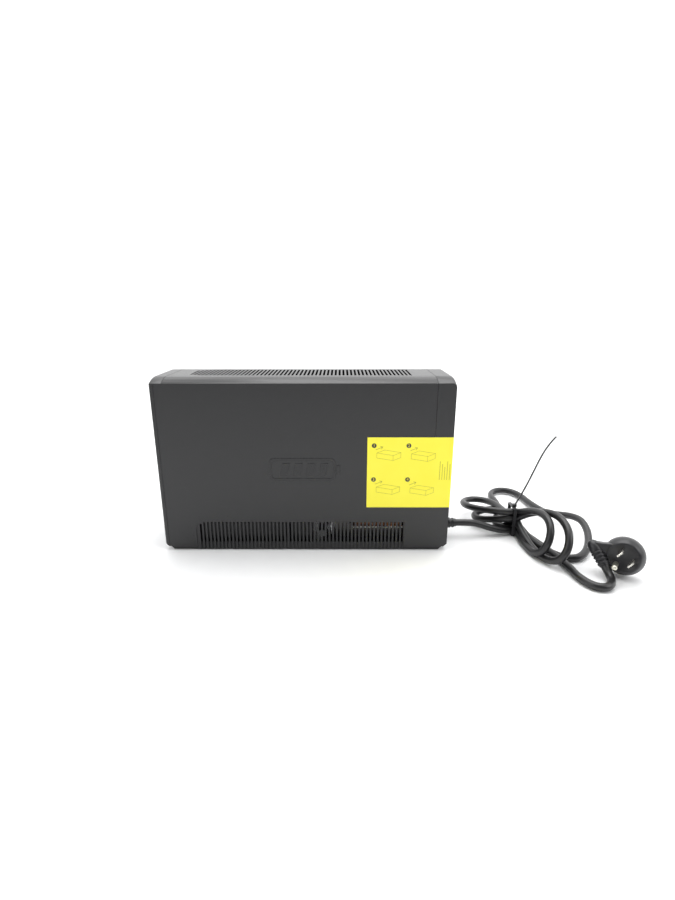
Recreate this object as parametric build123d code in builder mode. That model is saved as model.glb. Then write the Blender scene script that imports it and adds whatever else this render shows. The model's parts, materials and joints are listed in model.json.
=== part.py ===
from build123d import *
import os
from math import cos, pi, radians, sin, sqrt, tan

os.makedirs("parts", exist_ok=True)

# ---------------------------------------------------------------------------------------------
# An uninterruptible power supply that stands as a narrow tower: battery at the bottom front,
# transformer behind it, main board above both, outlets and cord at the rear.
# X runs from the front panel (-) to the outlets (+), Y across the case, Z up. The origin is the
# middle of the footprint on the surface that the unit stands on. Sizes are in millimetres.
# ---------------------------------------------------------------------------------------------

# Case
LENGTH = 310.0
WIDTH = 91.0
HEIGHT = 190.0
WALL = 2.5
SEAM = 0.3                  # open line between two mouldings
SHOULDER_WIDTH = 20.0       # sloping band between the side and the flat top
SHOULDER_DROP = 5.0         # the sharp side edge lies this far below the top
BEZEL_SIDE = 4.5            # how far the front moulding shows on the side
BEZEL_TOP = 13.0            # and on the top
REAR_CAP = 19.0             # how far the rear moulding reaches forward
REAR_CAP_FOOT = 60.0        # below this height the side walls run on to the rear face
FRONT_WALL = 3.0
REAR_WALL = 3.0
PLINTH = 4.7                # height of the recessed foot of the case
PLINTH_INSET = WALL + SEAM  # the base stands this far inside the skin, clear of the side walls
CORNER_CUT_LENGTH = 8.6     # the lower front and rear corners are cut away
CORNER_CUT_HEIGHT = 8.2
LEDGE = 3.0                 # shelf on each shoulder that carries the top grille

# Vents
VENT_PITCH = 4.13
VENT_SLOT = 2.1
SIDE_VENT_FRONT = -119.7
SIDE_VENT_REAR = 107.6
SIDE_VENT_HEIGHT = 36.0
SIDE_VENT_PITCH = 4.08
SIDE_VENT_FOOT = 1.2        # the bars between the slots hang down past the plinth to here
SIDE_VENT_CORNER = 12.0
SIDE_VENT_BORDER = 2.6
SIDE_VENT_DEPTH = 0.8
TOP_VENT_COUNT = 57
TOP_VENT_REAR = 111.5
TOP_VENT_LENGTH = 45.0

# Front panel
DOOR_WIDTH = 70.0
DOOR_FOOT = 9.8
DOOR_TOP = 113.0
DOOR_GAP = 0.3
LCD_WIDTH = 54.0
LCD_HEIGHT = 30.0
LCD_Z = 158.0
LCD_BORDER = 3.0
BUTTON_Z = 126.0
BUTTON_SPACING = 25.0
BUTTON_WIDTH = 16.0
BUTTON_HEIGHT = 9.0
BUTTON_GAP = 0.35
BUTTON_PROUD = 0.5
BUTTON_TRAVEL = 1.0
FLANGE = 1.5
STEM_RADIUS = 2.0
SWITCH_SIZE = 6.0
BOARD = 1.6                 # thickness of every circuit board
DISPLAY_BOARD_WIDTH = 76.0
DISPLAY_BOARD_FOOT = 118.0
DISPLAY_BOARD_TOP = 178.0

# Battery, 12 V 9 Ah sealed lead-acid
BATTERY_LENGTH = 151.0
BATTERY_WIDTH = 65.0
BATTERY_HEIGHT = 94.0
BATTERY_LID = 6.0
BATTERY_GAP = 0.7
TAB_WIDTH = 6.35
TAB_THICKNESS = 0.8
TAB_SPACING = 40.0
BAY_FLOOR = 10.0
BAY_WALL = 2.0
BAY_RAIL_HEIGHT = 24.0
DIVIDER = 2.5
DIVIDER_TOP = 112.0

# Transformer
CORE_LENGTH = 96.0
CORE_HEIGHT = 80.0
CORE_STACK = 54.0
CORE_LEG = 16.0             # outer legs and yokes; the centre leg is twice as wide
CORE_X = 80.0
CORE_FOOT = 8.0
STRAP = 1.5
STRAP_WIDTH = 40.0
STRAP_FOOT = 13.0
BOBBIN_GAP = 0.3
BOBBIN_WALL = 1.5
WINDING_GROWTH = 11.0       # how far the winding stands out from the bobbin tube

# Main board
BOARD_Z = 118.0
BOARD_FRONT = -125.0
BOARD_REAR = 132.0
BOARD_WIDTH = 84.0
POST_RADIUS = 3.0
POST_Y = 39.4
POST_X = (-118.0, -20.0, 127.0)
POST_BORE = 1.2
SINK_LENGTH = 100.0
SINK_HEIGHT = 45.0
SINK_X = -20.0
SINK_FIN = 8.0

# Rear panel
OUTLET_PITCH = 25.5
OUTLET_ROWS = 5
OUTLET_Y = 21.5
OUTLET_WIDTH = 35.0
OUTLET_FOOT = 49.5
OUTLET_DEPTH = 13.0
OUTLET_PROUD = 0.6
BLADE_SPACING = 12.7        # standard 15 A pattern
GROUND_OFFSET = 11.9
GROUND_RADIUS = 2.7
SLOT_DEPTH = 12.0
JACK_Z = 37.0
JACK_WIDTH = 15.0
JACK_HEIGHT = 13.0
JACK_DEPTH = 16.0
BREAKER_Y = -31.0
BREAKER_Z = 18.0
BREAKER_RADIUS = 5.5
BREAKER_BUTTON_RADIUS = 3.2

# Screws
BOSS_RADIUS = 4.0
BOSS_POINTS = ((-128.0, 178.0), (120.0, 178.0), (18.0, 20.0), (18.0, 100.0))
SCREW_RADIUS = 1.5
SCREW_HEAD = 3.1
SCREW_HEAD_HEIGHT = 2.4

# Label
LABEL_FRONT = 66.0
LABEL_FOOT = 51.4
LABEL_TOP = 129.2
LABEL_WRAP = 5.0            # how far the label is folded onto the rear face
LABEL_THICKNESS = 0.15

# Cord
CORD_DIAMETER = 8.0
CORD_Y = -10.0
CORD_Z = 17.0
GLAND_LENGTH = 17.0
GLAND_HOLE = 6.0
TIE_X = 240.0
TIE_Y = -1.0
TIE_WIDTH = 3.6
TIE_STRAP = 1.3
NECK_WIDTH = 19.0           # the bundle of cord inside the tie
NECK_TOP = 33.0
HANK_LOW = 14.0             # height of the spread turns
HANK_FACE_X = 232.0
HANK_FACE_Y = -92.0
PLUG_FACE = (314.4, -103.9, 22.9)
PLUG_YAW = 34.0             # the blades point to the front and this much towards the unit
PLUG_TILT = 12.0            # and this much upwards
PLUG_TURN = 52.0            # turn of the pin pattern about the plug's own axis
PLUG_RADIUS = 19.0
PLUG_FACE_RADIUS = 15.2
PLUG_THICKNESS = 19.0
PLUG_ARM = 28.0             # from the plug's axis to the knuckle that the cord leaves from
PLUG_ARM_LIFT = 4.5
PLUG_ARM_ROOT = 13.0
PLUG_ARM_THICKNESS = 10.0
KNUCKLE_RADIUS = 6.0
KNUCKLE_DEPTH = 5.0
RELIEF_RADIUS = 5.6
RELIEF_END_RADIUS = 4.9
RELIEF_RIB = 0.7
RELIEF_END = (299.8, -100.0, 12.0)
BLADE_OFFSET = 3.0          # the pair of blades sits off the plug's axis, away from the ground pin
BLADE_LENGTH = 17.0
BLADE_WIDTH = 6.35
BLADE_THICKNESS = 1.5
GROUND_LENGTH = 20.0
GROUND_PIN_RADIUS = 2.4

# Places that follow from the sizes above
FRONT_X = -LENGTH / 2
REAR_X = LENGTH / 2
SIDE_Y = WIDTH / 2
FLAT_Y = SIDE_Y - SHOULDER_WIDTH
CREASE_Z = HEIGHT - SHOULDER_DROP
FRONT_SEAM_X = FRONT_X + BEZEL_SIDE
TOP_SEAM_X = FRONT_X + BEZEL_TOP
REAR_SEAM_X = REAR_X - REAR_CAP
FRONT_INNER_X = FRONT_X + FRONT_WALL
REAR_INNER_X = REAR_X - REAR_WALL
FLOOR_Z = PLINTH - SEAM
BATTERY_FRONT_X = FRONT_INNER_X + 4.0
BATTERY_REAR_X = BATTERY_FRONT_X + BATTERY_LENGTH
BATTERY_FOOT_Z = BAY_FLOOR + SEAM
BATTERY_TOP_Z = BATTERY_FOOT_Z + BATTERY_HEIGHT
DIVIDER_X = BATTERY_REAR_X + 1.5
DISPLAY_BOARD_X = FRONT_X + 9.5
BOARD_TOP_Z = BOARD_Z + BOARD
OUTLET_TOP = OUTLET_FOOT + OUTLET_ROWS * OUTLET_PITCH
OUTLET_BACK_X = REAR_X - REAR_WALL - OUTLET_DEPTH
CORE_TOP = CORE_FOOT + CORE_HEIGHT


def case_section(x, inset, foot):
    """Cross-section of the case at x, set in from the outer skin, cut off square at height foot."""
    half = SIDE_Y - inset
    top = HEIGHT - inset
    crease = CREASE_Z - inset
    with BuildSketch(Plane.YZ.offset(x)) as section:
        with BuildLine():
            Polyline((-half, crease), (-half, foot), (half, foot), (half, crease))
            TangentArc((FLAT_Y, top), (half, crease), tangent=(1, 0))
            TangentArc((-FLAT_Y, top), (-half, crease), tangent=(-1, 0))
            Line((-FLAT_Y, top), (FLAT_Y, top))
        make_face()
    return section.sketch


def block(x0, x1, y0, y1, z0, z1):
    """Plain block between two corners, used to trim and to cut."""
    size = (x1 - x0, y1 - y0, z1 - z0)
    centre = ((x0 + x1) / 2, (y0 + y1) / 2, (z0 + z1) / 2)
    return Pos(*centre) * Box(*size, mode=Mode.PRIVATE)


def corner_cutter():
    """The two wedges that bevel the lower front and rear corners of the whole case."""
    with BuildPart() as cutter:
        with BuildSketch(Plane.XZ):
            with BuildLine():
                Polyline(
                    (FRONT_X - 1, CORNER_CUT_HEIGHT + 1),
                    (FRONT_X, CORNER_CUT_HEIGHT),
                    (FRONT_X + CORNER_CUT_LENGTH, 0),
                    (FRONT_X + CORNER_CUT_LENGTH, -1),
                    (FRONT_X - 1, -1),
                    close=True,
                )
            make_face()
            mirror(about=Plane.YZ)
        extrude(amount=WIDTH, both=True)
    return cutter.part


CORNERS = corner_cutter()

# ---------------------------------------------------------------------------- base tray
with BuildPart() as base_tray:
    with BuildSketch(Plane.XY):
        Rectangle(LENGTH - 2, WIDTH - 2 * PLINTH_INSET)
    extrude(amount=FLOOR_Z)
    # rim that locates the two side shells
    RIM_TOP = FLOOR_Z + 4.5
    RIM_Y = SIDE_Y - PLINTH_INSET
    with BuildSketch(Plane.XY.offset(FLOOR_Z)):
        Rectangle(2 * (REAR_INNER_X - 4), 2 * RIM_Y)
        Rectangle(2 * (REAR_INNER_X - 4), 2 * (RIM_Y - WALL), mode=Mode.SUBTRACT)
    extrude(amount=RIM_TOP - FLOOR_Z)
    # battery bay: two runners under it, two rails beside it and the wall that it stops at
    RAIL_Y = BATTERY_WIDTH / 2 + BATTERY_GAP
    for side in (-1, 1):
        add(block(FRONT_INNER_X + 2, DIVIDER_X, side * 20 - 4, side * 20 + 4, FLOOR_Z, BAY_FLOOR))
        inner, outer = sorted((side * RAIL_Y, side * (RAIL_Y + BAY_WALL)))
        add(block(FRONT_INNER_X + 2, DIVIDER_X, inner, outer, FLOOR_Z, FLOOR_Z + BAY_RAIL_HEIGHT))
    RAIL_OUTER = RAIL_Y + BAY_WALL
    add(block(DIVIDER_X, DIVIDER_X + DIVIDER, -RAIL_OUTER, RAIL_OUTER, FLOOR_Z, DIVIDER_TOP))
    # posts that carry the main board
    with BuildSketch(Plane.XY.offset(FLOOR_Z)):
        with Locations(*[(x, side * POST_Y) for x in POST_X for side in (-1, 1)]):
            Circle(POST_RADIUS)
    extrude(amount=BOARD_Z - FLOOR_Z)
    # pads under the transformer's feet
    FOOT_X = CORE_LENGTH / 2 + STRAP + STRAP_FOOT / 2
    with BuildSketch(Plane.XY.offset(FLOOR_Z)):
        with Locations((CORE_X - FOOT_X, 0), (CORE_X + FOOT_X, 0)):
            Rectangle(STRAP_FOOT, STRAP_WIDTH)
    extrude(amount=CORE_FOOT - STRAP - FLOOR_Z)
    # pilot holes in the posts and the pads
    with BuildSketch(Plane.XY.offset(BOARD_Z)):
        with Locations(*[(x, side * POST_Y) for x in POST_X for side in (-1, 1)]):
            Circle(POST_BORE)
    extrude(amount=-12, mode=Mode.SUBTRACT)
    with BuildSketch(Plane.XY.offset(CORE_FOOT - STRAP)):
        with Locations((CORE_X, 0)):
            with GridLocations(2 * FOOT_X, STRAP_WIDTH / 2, 2, 2):
                Circle(SCREW_RADIUS - 0.1)
    extrude(amount=-5.5, mode=Mode.SUBTRACT)
    add(CORNERS, mode=Mode.SUBTRACT)
base_tray.part.label = "base_tray"
export_step(base_tray.part, "parts/base_tray.step")


# ---------------------------------------------------------------------------- side shells
def side_vent_sketch(side):
    """Slots of one side's bottom vent, cut short where they meet the rounded front corner."""
    count = int((SIDE_VENT_REAR - SIDE_VENT_FRONT - SIDE_VENT_BORDER) / SIDE_VENT_PITCH)
    with BuildSketch(Plane.XZ.offset(-side * SIDE_Y)) as slots:
        for i in range(count):
            x = SIDE_VENT_REAR - SIDE_VENT_PITCH * (i + 0.5)
            reach = max(0.0, SIDE_VENT_FRONT + SIDE_VENT_CORNER - x)
            drop = SIDE_VENT_CORNER - sqrt(max(0.0, SIDE_VENT_CORNER**2 - reach**2))
            top = SIDE_VENT_HEIGHT - SIDE_VENT_BORDER - drop
            with Locations((x, top / 2)):
                Rectangle(VENT_SLOT, top)
    return slots.sketch


def side_shell(side):
    """Half of the case: side wall with its bottom vent, sloping shoulder, ledge and screw bosses."""
    run = REAR_X - FRONT_SEAM_X - SEAM / 2
    inner = FLAT_Y + SEAM / 2
    y_low, y_high = sorted((side * inner, side * (SIDE_Y + 1)))
    ledge_low, ledge_high = sorted((side * (FLAT_Y - LEDGE), side * (FLAT_Y + LEDGE)))
    start = FRONT_SEAM_X + SEAM / 2
    with BuildPart() as shell:
        extrude(case_section(start, 0, SIDE_VENT_FOOT), amount=run)
        extrude(case_section(start, WALL, 0), amount=run, mode=Mode.SUBTRACT)
        # the wall ends at the plinth in front of and behind the bottom vent
        add(block(FRONT_X, SIDE_VENT_FRONT, -WIDTH, WIDTH, 0, PLINTH), mode=Mode.SUBTRACT)
        add(block(SIDE_VENT_REAR, REAR_X + 1, -WIDTH, WIDTH, 0, PLINTH), mode=Mode.SUBTRACT)
        add(block(start - 1, REAR_X + 1, y_low, y_high, 0, HEIGHT + 1), mode=Mode.INTERSECT)
        ledge_top = HEIGHT - WALL
        add(block(TOP_SEAM_X + 1, REAR_SEAM_X - 1, ledge_low, ledge_high, ledge_top - 2, ledge_top))
        # room for the front moulding's top cap and for the rear cap
        add(block(FRONT_X, TOP_SEAM_X + SEAM / 2, -WIDTH, WIDTH, CREASE_Z, HEIGHT + 1), mode=Mode.SUBTRACT)
        add(
            block(REAR_SEAM_X - SEAM / 2, REAR_X + 1, -WIDTH, WIDTH, REAR_CAP_FOOT, HEIGHT + 1),
            mode=Mode.SUBTRACT,
        )
        # shallow field of the bottom vent, with its rounded front corner
        with BuildSketch(Plane.XZ.offset(-side * SIDE_Y)):
            with BuildLine():
                Polyline(
                    (SIDE_VENT_FRONT, SIDE_VENT_HEIGHT - SIDE_VENT_CORNER),
                    (SIDE_VENT_FRONT, 0),
                    (SIDE_VENT_REAR, 0),
                    (SIDE_VENT_REAR, SIDE_VENT_HEIGHT),
                    (SIDE_VENT_FRONT + SIDE_VENT_CORNER, SIDE_VENT_HEIGHT),
                )
                RadiusArc(
                    (SIDE_VENT_FRONT, SIDE_VENT_HEIGHT - SIDE_VENT_CORNER),
                    (SIDE_VENT_FRONT + SIDE_VENT_CORNER, SIDE_VENT_HEIGHT),
                    SIDE_VENT_CORNER,
                )
            make_face()
        extrude(amount=side * SIDE_VENT_DEPTH, mode=Mode.SUBTRACT)
        extrude(side_vent_sketch(side), amount=side * (WALL + 1), mode=Mode.SUBTRACT)
        # screw bosses from the wall to the middle plane
        with BuildSketch(Plane.XZ.offset(-side * (SIDE_Y - WALL / 2))):
            with Locations(*BOSS_POINTS):
                Circle(BOSS_RADIUS)
        extrude(amount=side * (SIDE_Y - WALL / 2 - SEAM / 2))
        bore = SCREW_RADIUS + 0.2 if side > 0 else SCREW_RADIUS - 0.1
        with BuildSketch(Plane.XZ):
            with Locations(*BOSS_POINTS):
                Circle(bore)
        extrude(amount=-side * (SIDE_Y + 1 if side > 0 else 16.0), mode=Mode.SUBTRACT)
        if side > 0:
            with BuildSketch(Plane.XZ.offset(-SIDE_Y)):
                with Locations(*BOSS_POINTS):
                    Circle(SCREW_HEAD + 0.4)
            extrude(amount=SCREW_HEAD_HEIGHT + 0.6, mode=Mode.SUBTRACT)
        add(CORNERS, mode=Mode.SUBTRACT)
    return shell


side_shell_left = side_shell(-1)
side_shell_left.part.label = "side_shell_left"
export_step(side_shell_left.part, "parts/side_shell_left.step")

side_shell_right = side_shell(1)
side_shell_right.part.label = "side_shell_right"
export_step(side_shell_right.part, "parts/side_shell_right.step")

# ---------------------------------------------------------------------------- top grille
with BuildPart() as top_grille:
    GRILLE_FRONT = TOP_SEAM_X + SEAM / 2
    GRILLE_REAR = REAR_SEAM_X - SEAM / 2
    add(block(GRILLE_FRONT, GRILLE_REAR, -FLAT_Y + SEAM / 2, FLAT_Y - SEAM / 2, HEIGHT - WALL, HEIGHT))
    with BuildSketch(Plane.XY.offset(HEIGHT)):
        for i in range(TOP_VENT_COUNT):
            shorten = 4 * max(0, i - TOP_VENT_COUNT + 4)
            with Locations((TOP_VENT_REAR - VENT_PITCH * i, 0)):
                Rectangle(VENT_SLOT, TOP_VENT_LENGTH - shorten)
    extrude(amount=-WALL, mode=Mode.SUBTRACT)
top_grille.part.label = "top_grille"
export_step(top_grille.part, "parts/top_grille.step")

# ---------------------------------------------------------------------------- front bezel
BUTTON_PLACES = [(-BUTTON_SPACING, BUTTON_Z), (0, BUTTON_Z), (BUTTON_SPACING, BUTTON_Z)]
with BuildPart() as front_bezel:
    extrude(case_section(FRONT_X, 0, PLINTH), amount=BEZEL_TOP - SEAM / 2)
    cap_edges = front_bezel.edges().group_by(Axis.X)[0].filter_by(lambda e: e.center().Z > PLINTH + 1)
    fillet(cap_edges, radius=2.0)
    skirt = FRONT_SEAM_X - SEAM / 2
    add(block(skirt, 0, -WIDTH, WIDTH, 0, CREASE_Z), mode=Mode.SUBTRACT)
    extrude(case_section(FRONT_INNER_X, WALL, 0), amount=BEZEL_TOP, mode=Mode.SUBTRACT)
    # doorway for the battery
    add(
        block(FRONT_X - 1, FRONT_INNER_X + 1, -DOOR_WIDTH / 2, DOOR_WIDTH / 2, DOOR_FOOT, DOOR_TOP),
        mode=Mode.SUBTRACT,
    )
    # display window, stepped so that the pane lies flush
    with BuildSketch(Plane.YZ.offset(FRONT_X)):
        with Locations((0, LCD_Z)):
            RectangleRounded(LCD_WIDTH + 2 * LCD_BORDER, LCD_HEIGHT + 2 * LCD_BORDER, 3)
    extrude(amount=1.5, mode=Mode.SUBTRACT)
    with BuildSketch(Plane.YZ.offset(FRONT_X)):
        with Locations((0, LCD_Z)):
            Rectangle(LCD_WIDTH, LCD_HEIGHT)
        with Locations(*BUTTON_PLACES):
            SlotOverall(BUTTON_WIDTH, BUTTON_HEIGHT)
    extrude(amount=FRONT_WALL, mode=Mode.SUBTRACT)
    add(CORNERS, mode=Mode.SUBTRACT)
front_bezel.part.label = "front_bezel"
export_step(front_bezel.part, "parts/front_bezel.step")

# ---------------------------------------------------------------------------- battery door
with BuildPart() as battery_door:
    door_y = DOOR_WIDTH / 2 - DOOR_GAP
    door_foot = DOOR_FOOT + DOOR_GAP
    door_top = DOOR_TOP - DOOR_GAP
    add(block(FRONT_X, FRONT_INNER_X, -door_y, door_y, door_foot, door_top))
    fillet(battery_door.edges().group_by(Axis.X)[0], radius=0.6)
    # row of finger ridges along the top edge
    GRIP_RIDGES = 5
    for i in range(GRIP_RIDGES):
        z = door_top - 8 - 3.0 * i
        add(block(FRONT_X - 1, FRONT_X + 0.7, -14, 14, z - 0.7, z + 0.7), mode=Mode.SUBTRACT)
    # stiffening ribs on the inner face
    for y in (-24.0, -14.0, 14.0, 24.0):
        add(block(FRONT_INNER_X, FRONT_INNER_X + 2.5, y - 1, y + 1, door_foot + 6, door_top - 12))
battery_door.part.label = "battery_door"
export_step(battery_door.part, "parts/battery_door.step")

# ---------------------------------------------------------------------------- display
with BuildPart() as lcd_window:
    with BuildSketch(Plane.YZ.offset(FRONT_X)):
        with Locations((0, LCD_Z)):
            RectangleRounded(LCD_WIDTH + 2 * LCD_BORDER - 0.3, LCD_HEIGHT + 2 * LCD_BORDER - 0.3, 2.8)
    extrude(amount=1.4)
lcd_window.part.label = "lcd_window"
export_step(lcd_window.part, "parts/lcd_window.step")

with BuildPart() as lcd_module:
    add(
        block(
            FRONT_INNER_X + 0.4,
            DISPLAY_BOARD_X,
            -LCD_WIDTH / 2 - 2,
            LCD_WIDTH / 2 + 2,
            LCD_Z - LCD_HEIGHT / 2 - 2,
            LCD_Z + LCD_HEIGHT / 2 + 2,
        )
    )
    fillet(lcd_module.edges().filter_by(Axis.X), radius=1.0)
lcd_module.part.label = "lcd_module"
export_step(lcd_module.part, "parts/lcd_module.step")

with BuildPart() as display_board:
    with BuildSketch(Plane.YZ.offset(DISPLAY_BOARD_X)):
        with Locations((0, (DISPLAY_BOARD_FOOT + DISPLAY_BOARD_TOP) / 2)):
            RectangleRounded(DISPLAY_BOARD_WIDTH, DISPLAY_BOARD_TOP - DISPLAY_BOARD_FOOT, 2)
            with GridLocations(DISPLAY_BOARD_WIDTH - 8, DISPLAY_BOARD_TOP - DISPLAY_BOARD_FOOT - 8, 2, 2):
                Circle(SCREW_RADIUS, mode=Mode.SUBTRACT)
    extrude(amount=BOARD)
display_board.part.label = "display_board"
export_step(display_board.part, "parts/display_board.step")

STEM_TIP_X = FRONT_INNER_X + 2.0
SWITCH_X = STEM_TIP_X + BUTTON_TRAVEL + 0.3
with BuildPart() as tact_switches:
    for y, z in BUTTON_PLACES:
        with BuildSketch(Plane.YZ.offset(SWITCH_X)):
            with Locations((y, z)):
                Circle(1.7)
        extrude(amount=0.8)
        with BuildSketch(Plane.YZ.offset(SWITCH_X + 0.8)):
            with Locations((y, z)):
                RectangleRounded(SWITCH_SIZE, SWITCH_SIZE, 0.5)
        extrude(amount=DISPLAY_BOARD_X - SWITCH_X - 0.8)
tact_switches.part.label = "tact_switches"
export_step(tact_switches.part, "parts/tact_switches.step")


def front_button(place):
    """Oval button: cap through the bezel, retaining flange behind it and a stem to the switch."""
    with BuildPart() as button:
        with BuildSketch(Plane.YZ.offset(FRONT_X - BUTTON_PROUD)):
            with Locations(place):
                SlotOverall(BUTTON_WIDTH - 2 * BUTTON_GAP, BUTTON_HEIGHT - 2 * BUTTON_GAP)
        extrude(amount=BUTTON_PROUD + FRONT_WALL + 0.1)
        fillet(button.edges().group_by(Axis.X)[0], radius=0.4)
        with BuildSketch(Plane.YZ.offset(FRONT_INNER_X + 0.1)):
            with Locations(place):
                SlotOverall(BUTTON_WIDTH + FLANGE, BUTTON_HEIGHT + FLANGE)
        extrude(amount=0.9)
        with BuildSketch(Plane.YZ.offset(FRONT_INNER_X + 1.0)):
            with Locations(place):
                Circle(STEM_RADIUS)
        extrude(amount=STEM_TIP_X - FRONT_INNER_X - 1.0)
    return button


mute_button = front_button(BUTTON_PLACES[0])
mute_button.part.label = "mute_button"
export_step(mute_button.part, "parts/mute_button.step")

power_button = front_button(BUTTON_PLACES[1])
power_button.part.label = "power_button"
export_step(power_button.part, "parts/power_button.step")

display_button = front_button(BUTTON_PLACES[2])
display_button.part.label = "display_button"
export_step(display_button.part, "parts/display_button.step")

# ---------------------------------------------------------------------------- rear panel
OUTLET_COLUMNS = (-OUTLET_Y, OUTLET_Y)
JACK_PLACES = [(9.0, JACK_Z), (27.0, JACK_Z)]
DATA_PLACE = (-11.0, JACK_Z)
GROUND_PLACE = (-32.0, JACK_Z)
with BuildPart() as rear_panel:
    extrude(case_section(REAR_SEAM_X + SEAM / 2, 0, PLINTH), amount=REAR_CAP - SEAM / 2)
    cap_edges = rear_panel.edges().group_by(Axis.X)[-1].filter_by(lambda e: e.center().Z > CREASE_Z)
    fillet(cap_edges, radius=4.0)
    extrude(case_section(REAR_SEAM_X, WALL, 0), amount=REAR_CAP - REAR_WALL, mode=Mode.SUBTRACT)
    # below the side seam the cap is only the rear wall, held between the side shells
    for side in (-1, 1):
        y_low, y_high = sorted((side * (SIDE_Y - WALL - SEAM), side * WIDTH))
        add(block(0, REAR_X + 1, y_low, y_high, 0, REAR_CAP_FOOT + SEAM), mode=Mode.SUBTRACT)
    with BuildSketch(Plane.YZ.offset(REAR_X)):
        with Locations(*[(y, (OUTLET_FOOT + OUTLET_TOP) / 2) for y in OUTLET_COLUMNS]):
            Rectangle(OUTLET_WIDTH, OUTLET_TOP - OUTLET_FOOT)
        with Locations(*JACK_PLACES, DATA_PLACE):
            Rectangle(JACK_WIDTH, JACK_HEIGHT)
        with Locations(GROUND_PLACE):
            Circle(SCREW_RADIUS + 0.5)
        with Locations((BREAKER_Y, BREAKER_Z)):
            Circle(BREAKER_RADIUS)
        with Locations((CORD_Y, CORD_Z)):
            Circle(GLAND_HOLE)
    extrude(amount=-REAR_WALL, mode=Mode.SUBTRACT)
    add(CORNERS, mode=Mode.SUBTRACT)
rear_panel.part.label = "rear_panel"
export_step(rear_panel.part, "parts/rear_panel.step")


def outlet_block(y):
    """Column of sockets: a deep strip flush in the rear wall, with three cavities for each socket."""
    height = OUTLET_TOP - OUTLET_FOOT
    with BuildPart() as strip:
        with BuildSketch(Plane.YZ.offset(OUTLET_BACK_X)):
            with Locations((y, (OUTLET_FOOT + OUTLET_TOP) / 2)):
                Rectangle(OUTLET_WIDTH - 2 * SEAM, height - 2 * SEAM)
        extrude(amount=REAR_X + OUTLET_PROUD - OUTLET_BACK_X)
        fillet(strip.edges().group_by(Axis.X)[-1], radius=0.8)
        with BuildSketch(Plane.YZ.offset(REAR_X + OUTLET_PROUD)):
            for row in range(OUTLET_ROWS):
                z = OUTLET_FOOT + OUTLET_PITCH * (row + 0.5) + GROUND_OFFSET / 2 - 1
                with Locations((y - BLADE_SPACING / 2, z)):
                    Rectangle(2.1, 8.2)
                with Locations((y + BLADE_SPACING / 2, z)):
                    Rectangle(2.1, 6.8)
                with Locations((y, z - GROUND_OFFSET)):
                    Circle(GROUND_RADIUS)
                    with Locations((0, -GROUND_RADIUS / 2)):
                        Rectangle(2 * GROUND_RADIUS, GROUND_RADIUS)
        extrude(amount=-SLOT_DEPTH, mode=Mode.SUBTRACT)
    return strip


outlet_block_left = outlet_block(-OUTLET_Y)
outlet_block_left.part.label = "outlet_block_left"
export_step(outlet_block_left.part, "parts/outlet_block_left.step")

outlet_block_right = outlet_block(OUTLET_Y)
outlet_block_right.part.label = "outlet_block_right"
export_step(outlet_block_right.part, "parts/outlet_block_right.step")

BUS_THICKNESS = 0.8
with BuildPart() as outlet_bus_bars:
    with BuildSketch(Plane.YZ.offset(OUTLET_BACK_X - BUS_THICKNESS)):
        for y in OUTLET_COLUMNS:
            for offset_y in (-BLADE_SPACING / 2, 0, BLADE_SPACING / 2):
                with Locations((y + offset_y, (OUTLET_FOOT + OUTLET_TOP) / 2)):
                    Rectangle(4.5, OUTLET_TOP - OUTLET_FOOT - 12)
    extrude(amount=BUS_THICKNESS)
outlet_bus_bars.part.label = "outlet_bus_bars"
export_step(outlet_bus_bars.part, "parts/outlet_bus_bars.step")


def jack_housing(place, mouth_width, mouth_height):
    """Moulded jack body with an open mouth in the rear face."""
    with BuildPart() as jack:
        with BuildSketch(Plane.YZ.offset(REAR_X + 0.2)):
            with Locations(place):
                Rectangle(JACK_WIDTH - 2 * BUTTON_GAP, JACK_HEIGHT - 2 * BUTTON_GAP)
        extrude(amount=-JACK_DEPTH)
        with BuildSketch(Plane.YZ.offset(REAR_X + 0.2)):
            with Locations(place):
                Rectangle(mouth_width, mouth_height)
        extrude(amount=-JACK_DEPTH + 2.5, mode=Mode.SUBTRACT)
    return jack.part


with BuildPart() as network_jacks:
    for place in JACK_PLACES:
        add(jack_housing(place, 11.7, 8.0))
network_jacks.part.label = "network_jacks"
export_step(network_jacks.part, "parts/network_jacks.step")

with BuildPart() as data_port:
    add(jack_housing(DATA_PLACE, 8.6, 7.8))
data_port.part.label = "data_port"
export_step(data_port.part, "parts/data_port.step")

with BuildPart() as ground_screw:
    with BuildSketch(Plane.YZ.offset(REAR_INNER_X - 5)):
        with Locations(GROUND_PLACE):
            Circle(SCREW_RADIUS + 0.3)
    extrude(amount=5 + REAR_WALL)
    with BuildSketch(Plane.YZ.offset(REAR_X)):
        with Locations(GROUND_PLACE):
            Circle(SCREW_HEAD + 0.6)
    extrude(amount=OUTLET_PROUD)
ground_screw.part.label = "ground_screw"
export_step(ground_screw.part, "parts/ground_screw.step")

with BuildPart() as breaker_body:
    with BuildSketch(Plane.YZ.offset(REAR_INNER_X - 20)):
        with Locations((BREAKER_Y, BREAKER_Z)):
            RectangleRounded(15, 15, 1)
    extrude(amount=20)
    with BuildSketch(Plane.YZ.offset(REAR_INNER_X)):
        with Locations((BREAKER_Y, BREAKER_Z)):
            Circle(BREAKER_RADIUS - 0.1)
    extrude(amount=REAR_WALL + OUTLET_PROUD)
    with BuildSketch(Plane.YZ.offset(REAR_X + OUTLET_PROUD)):
        with Locations((BREAKER_Y, BREAKER_Z)):
            Circle(BREAKER_BUTTON_RADIUS + 0.3)
    extrude(amount=-14, mode=Mode.SUBTRACT)
breaker_body.part.label = "breaker_body"
export_step(breaker_body.part, "parts/breaker_body.step")

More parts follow.
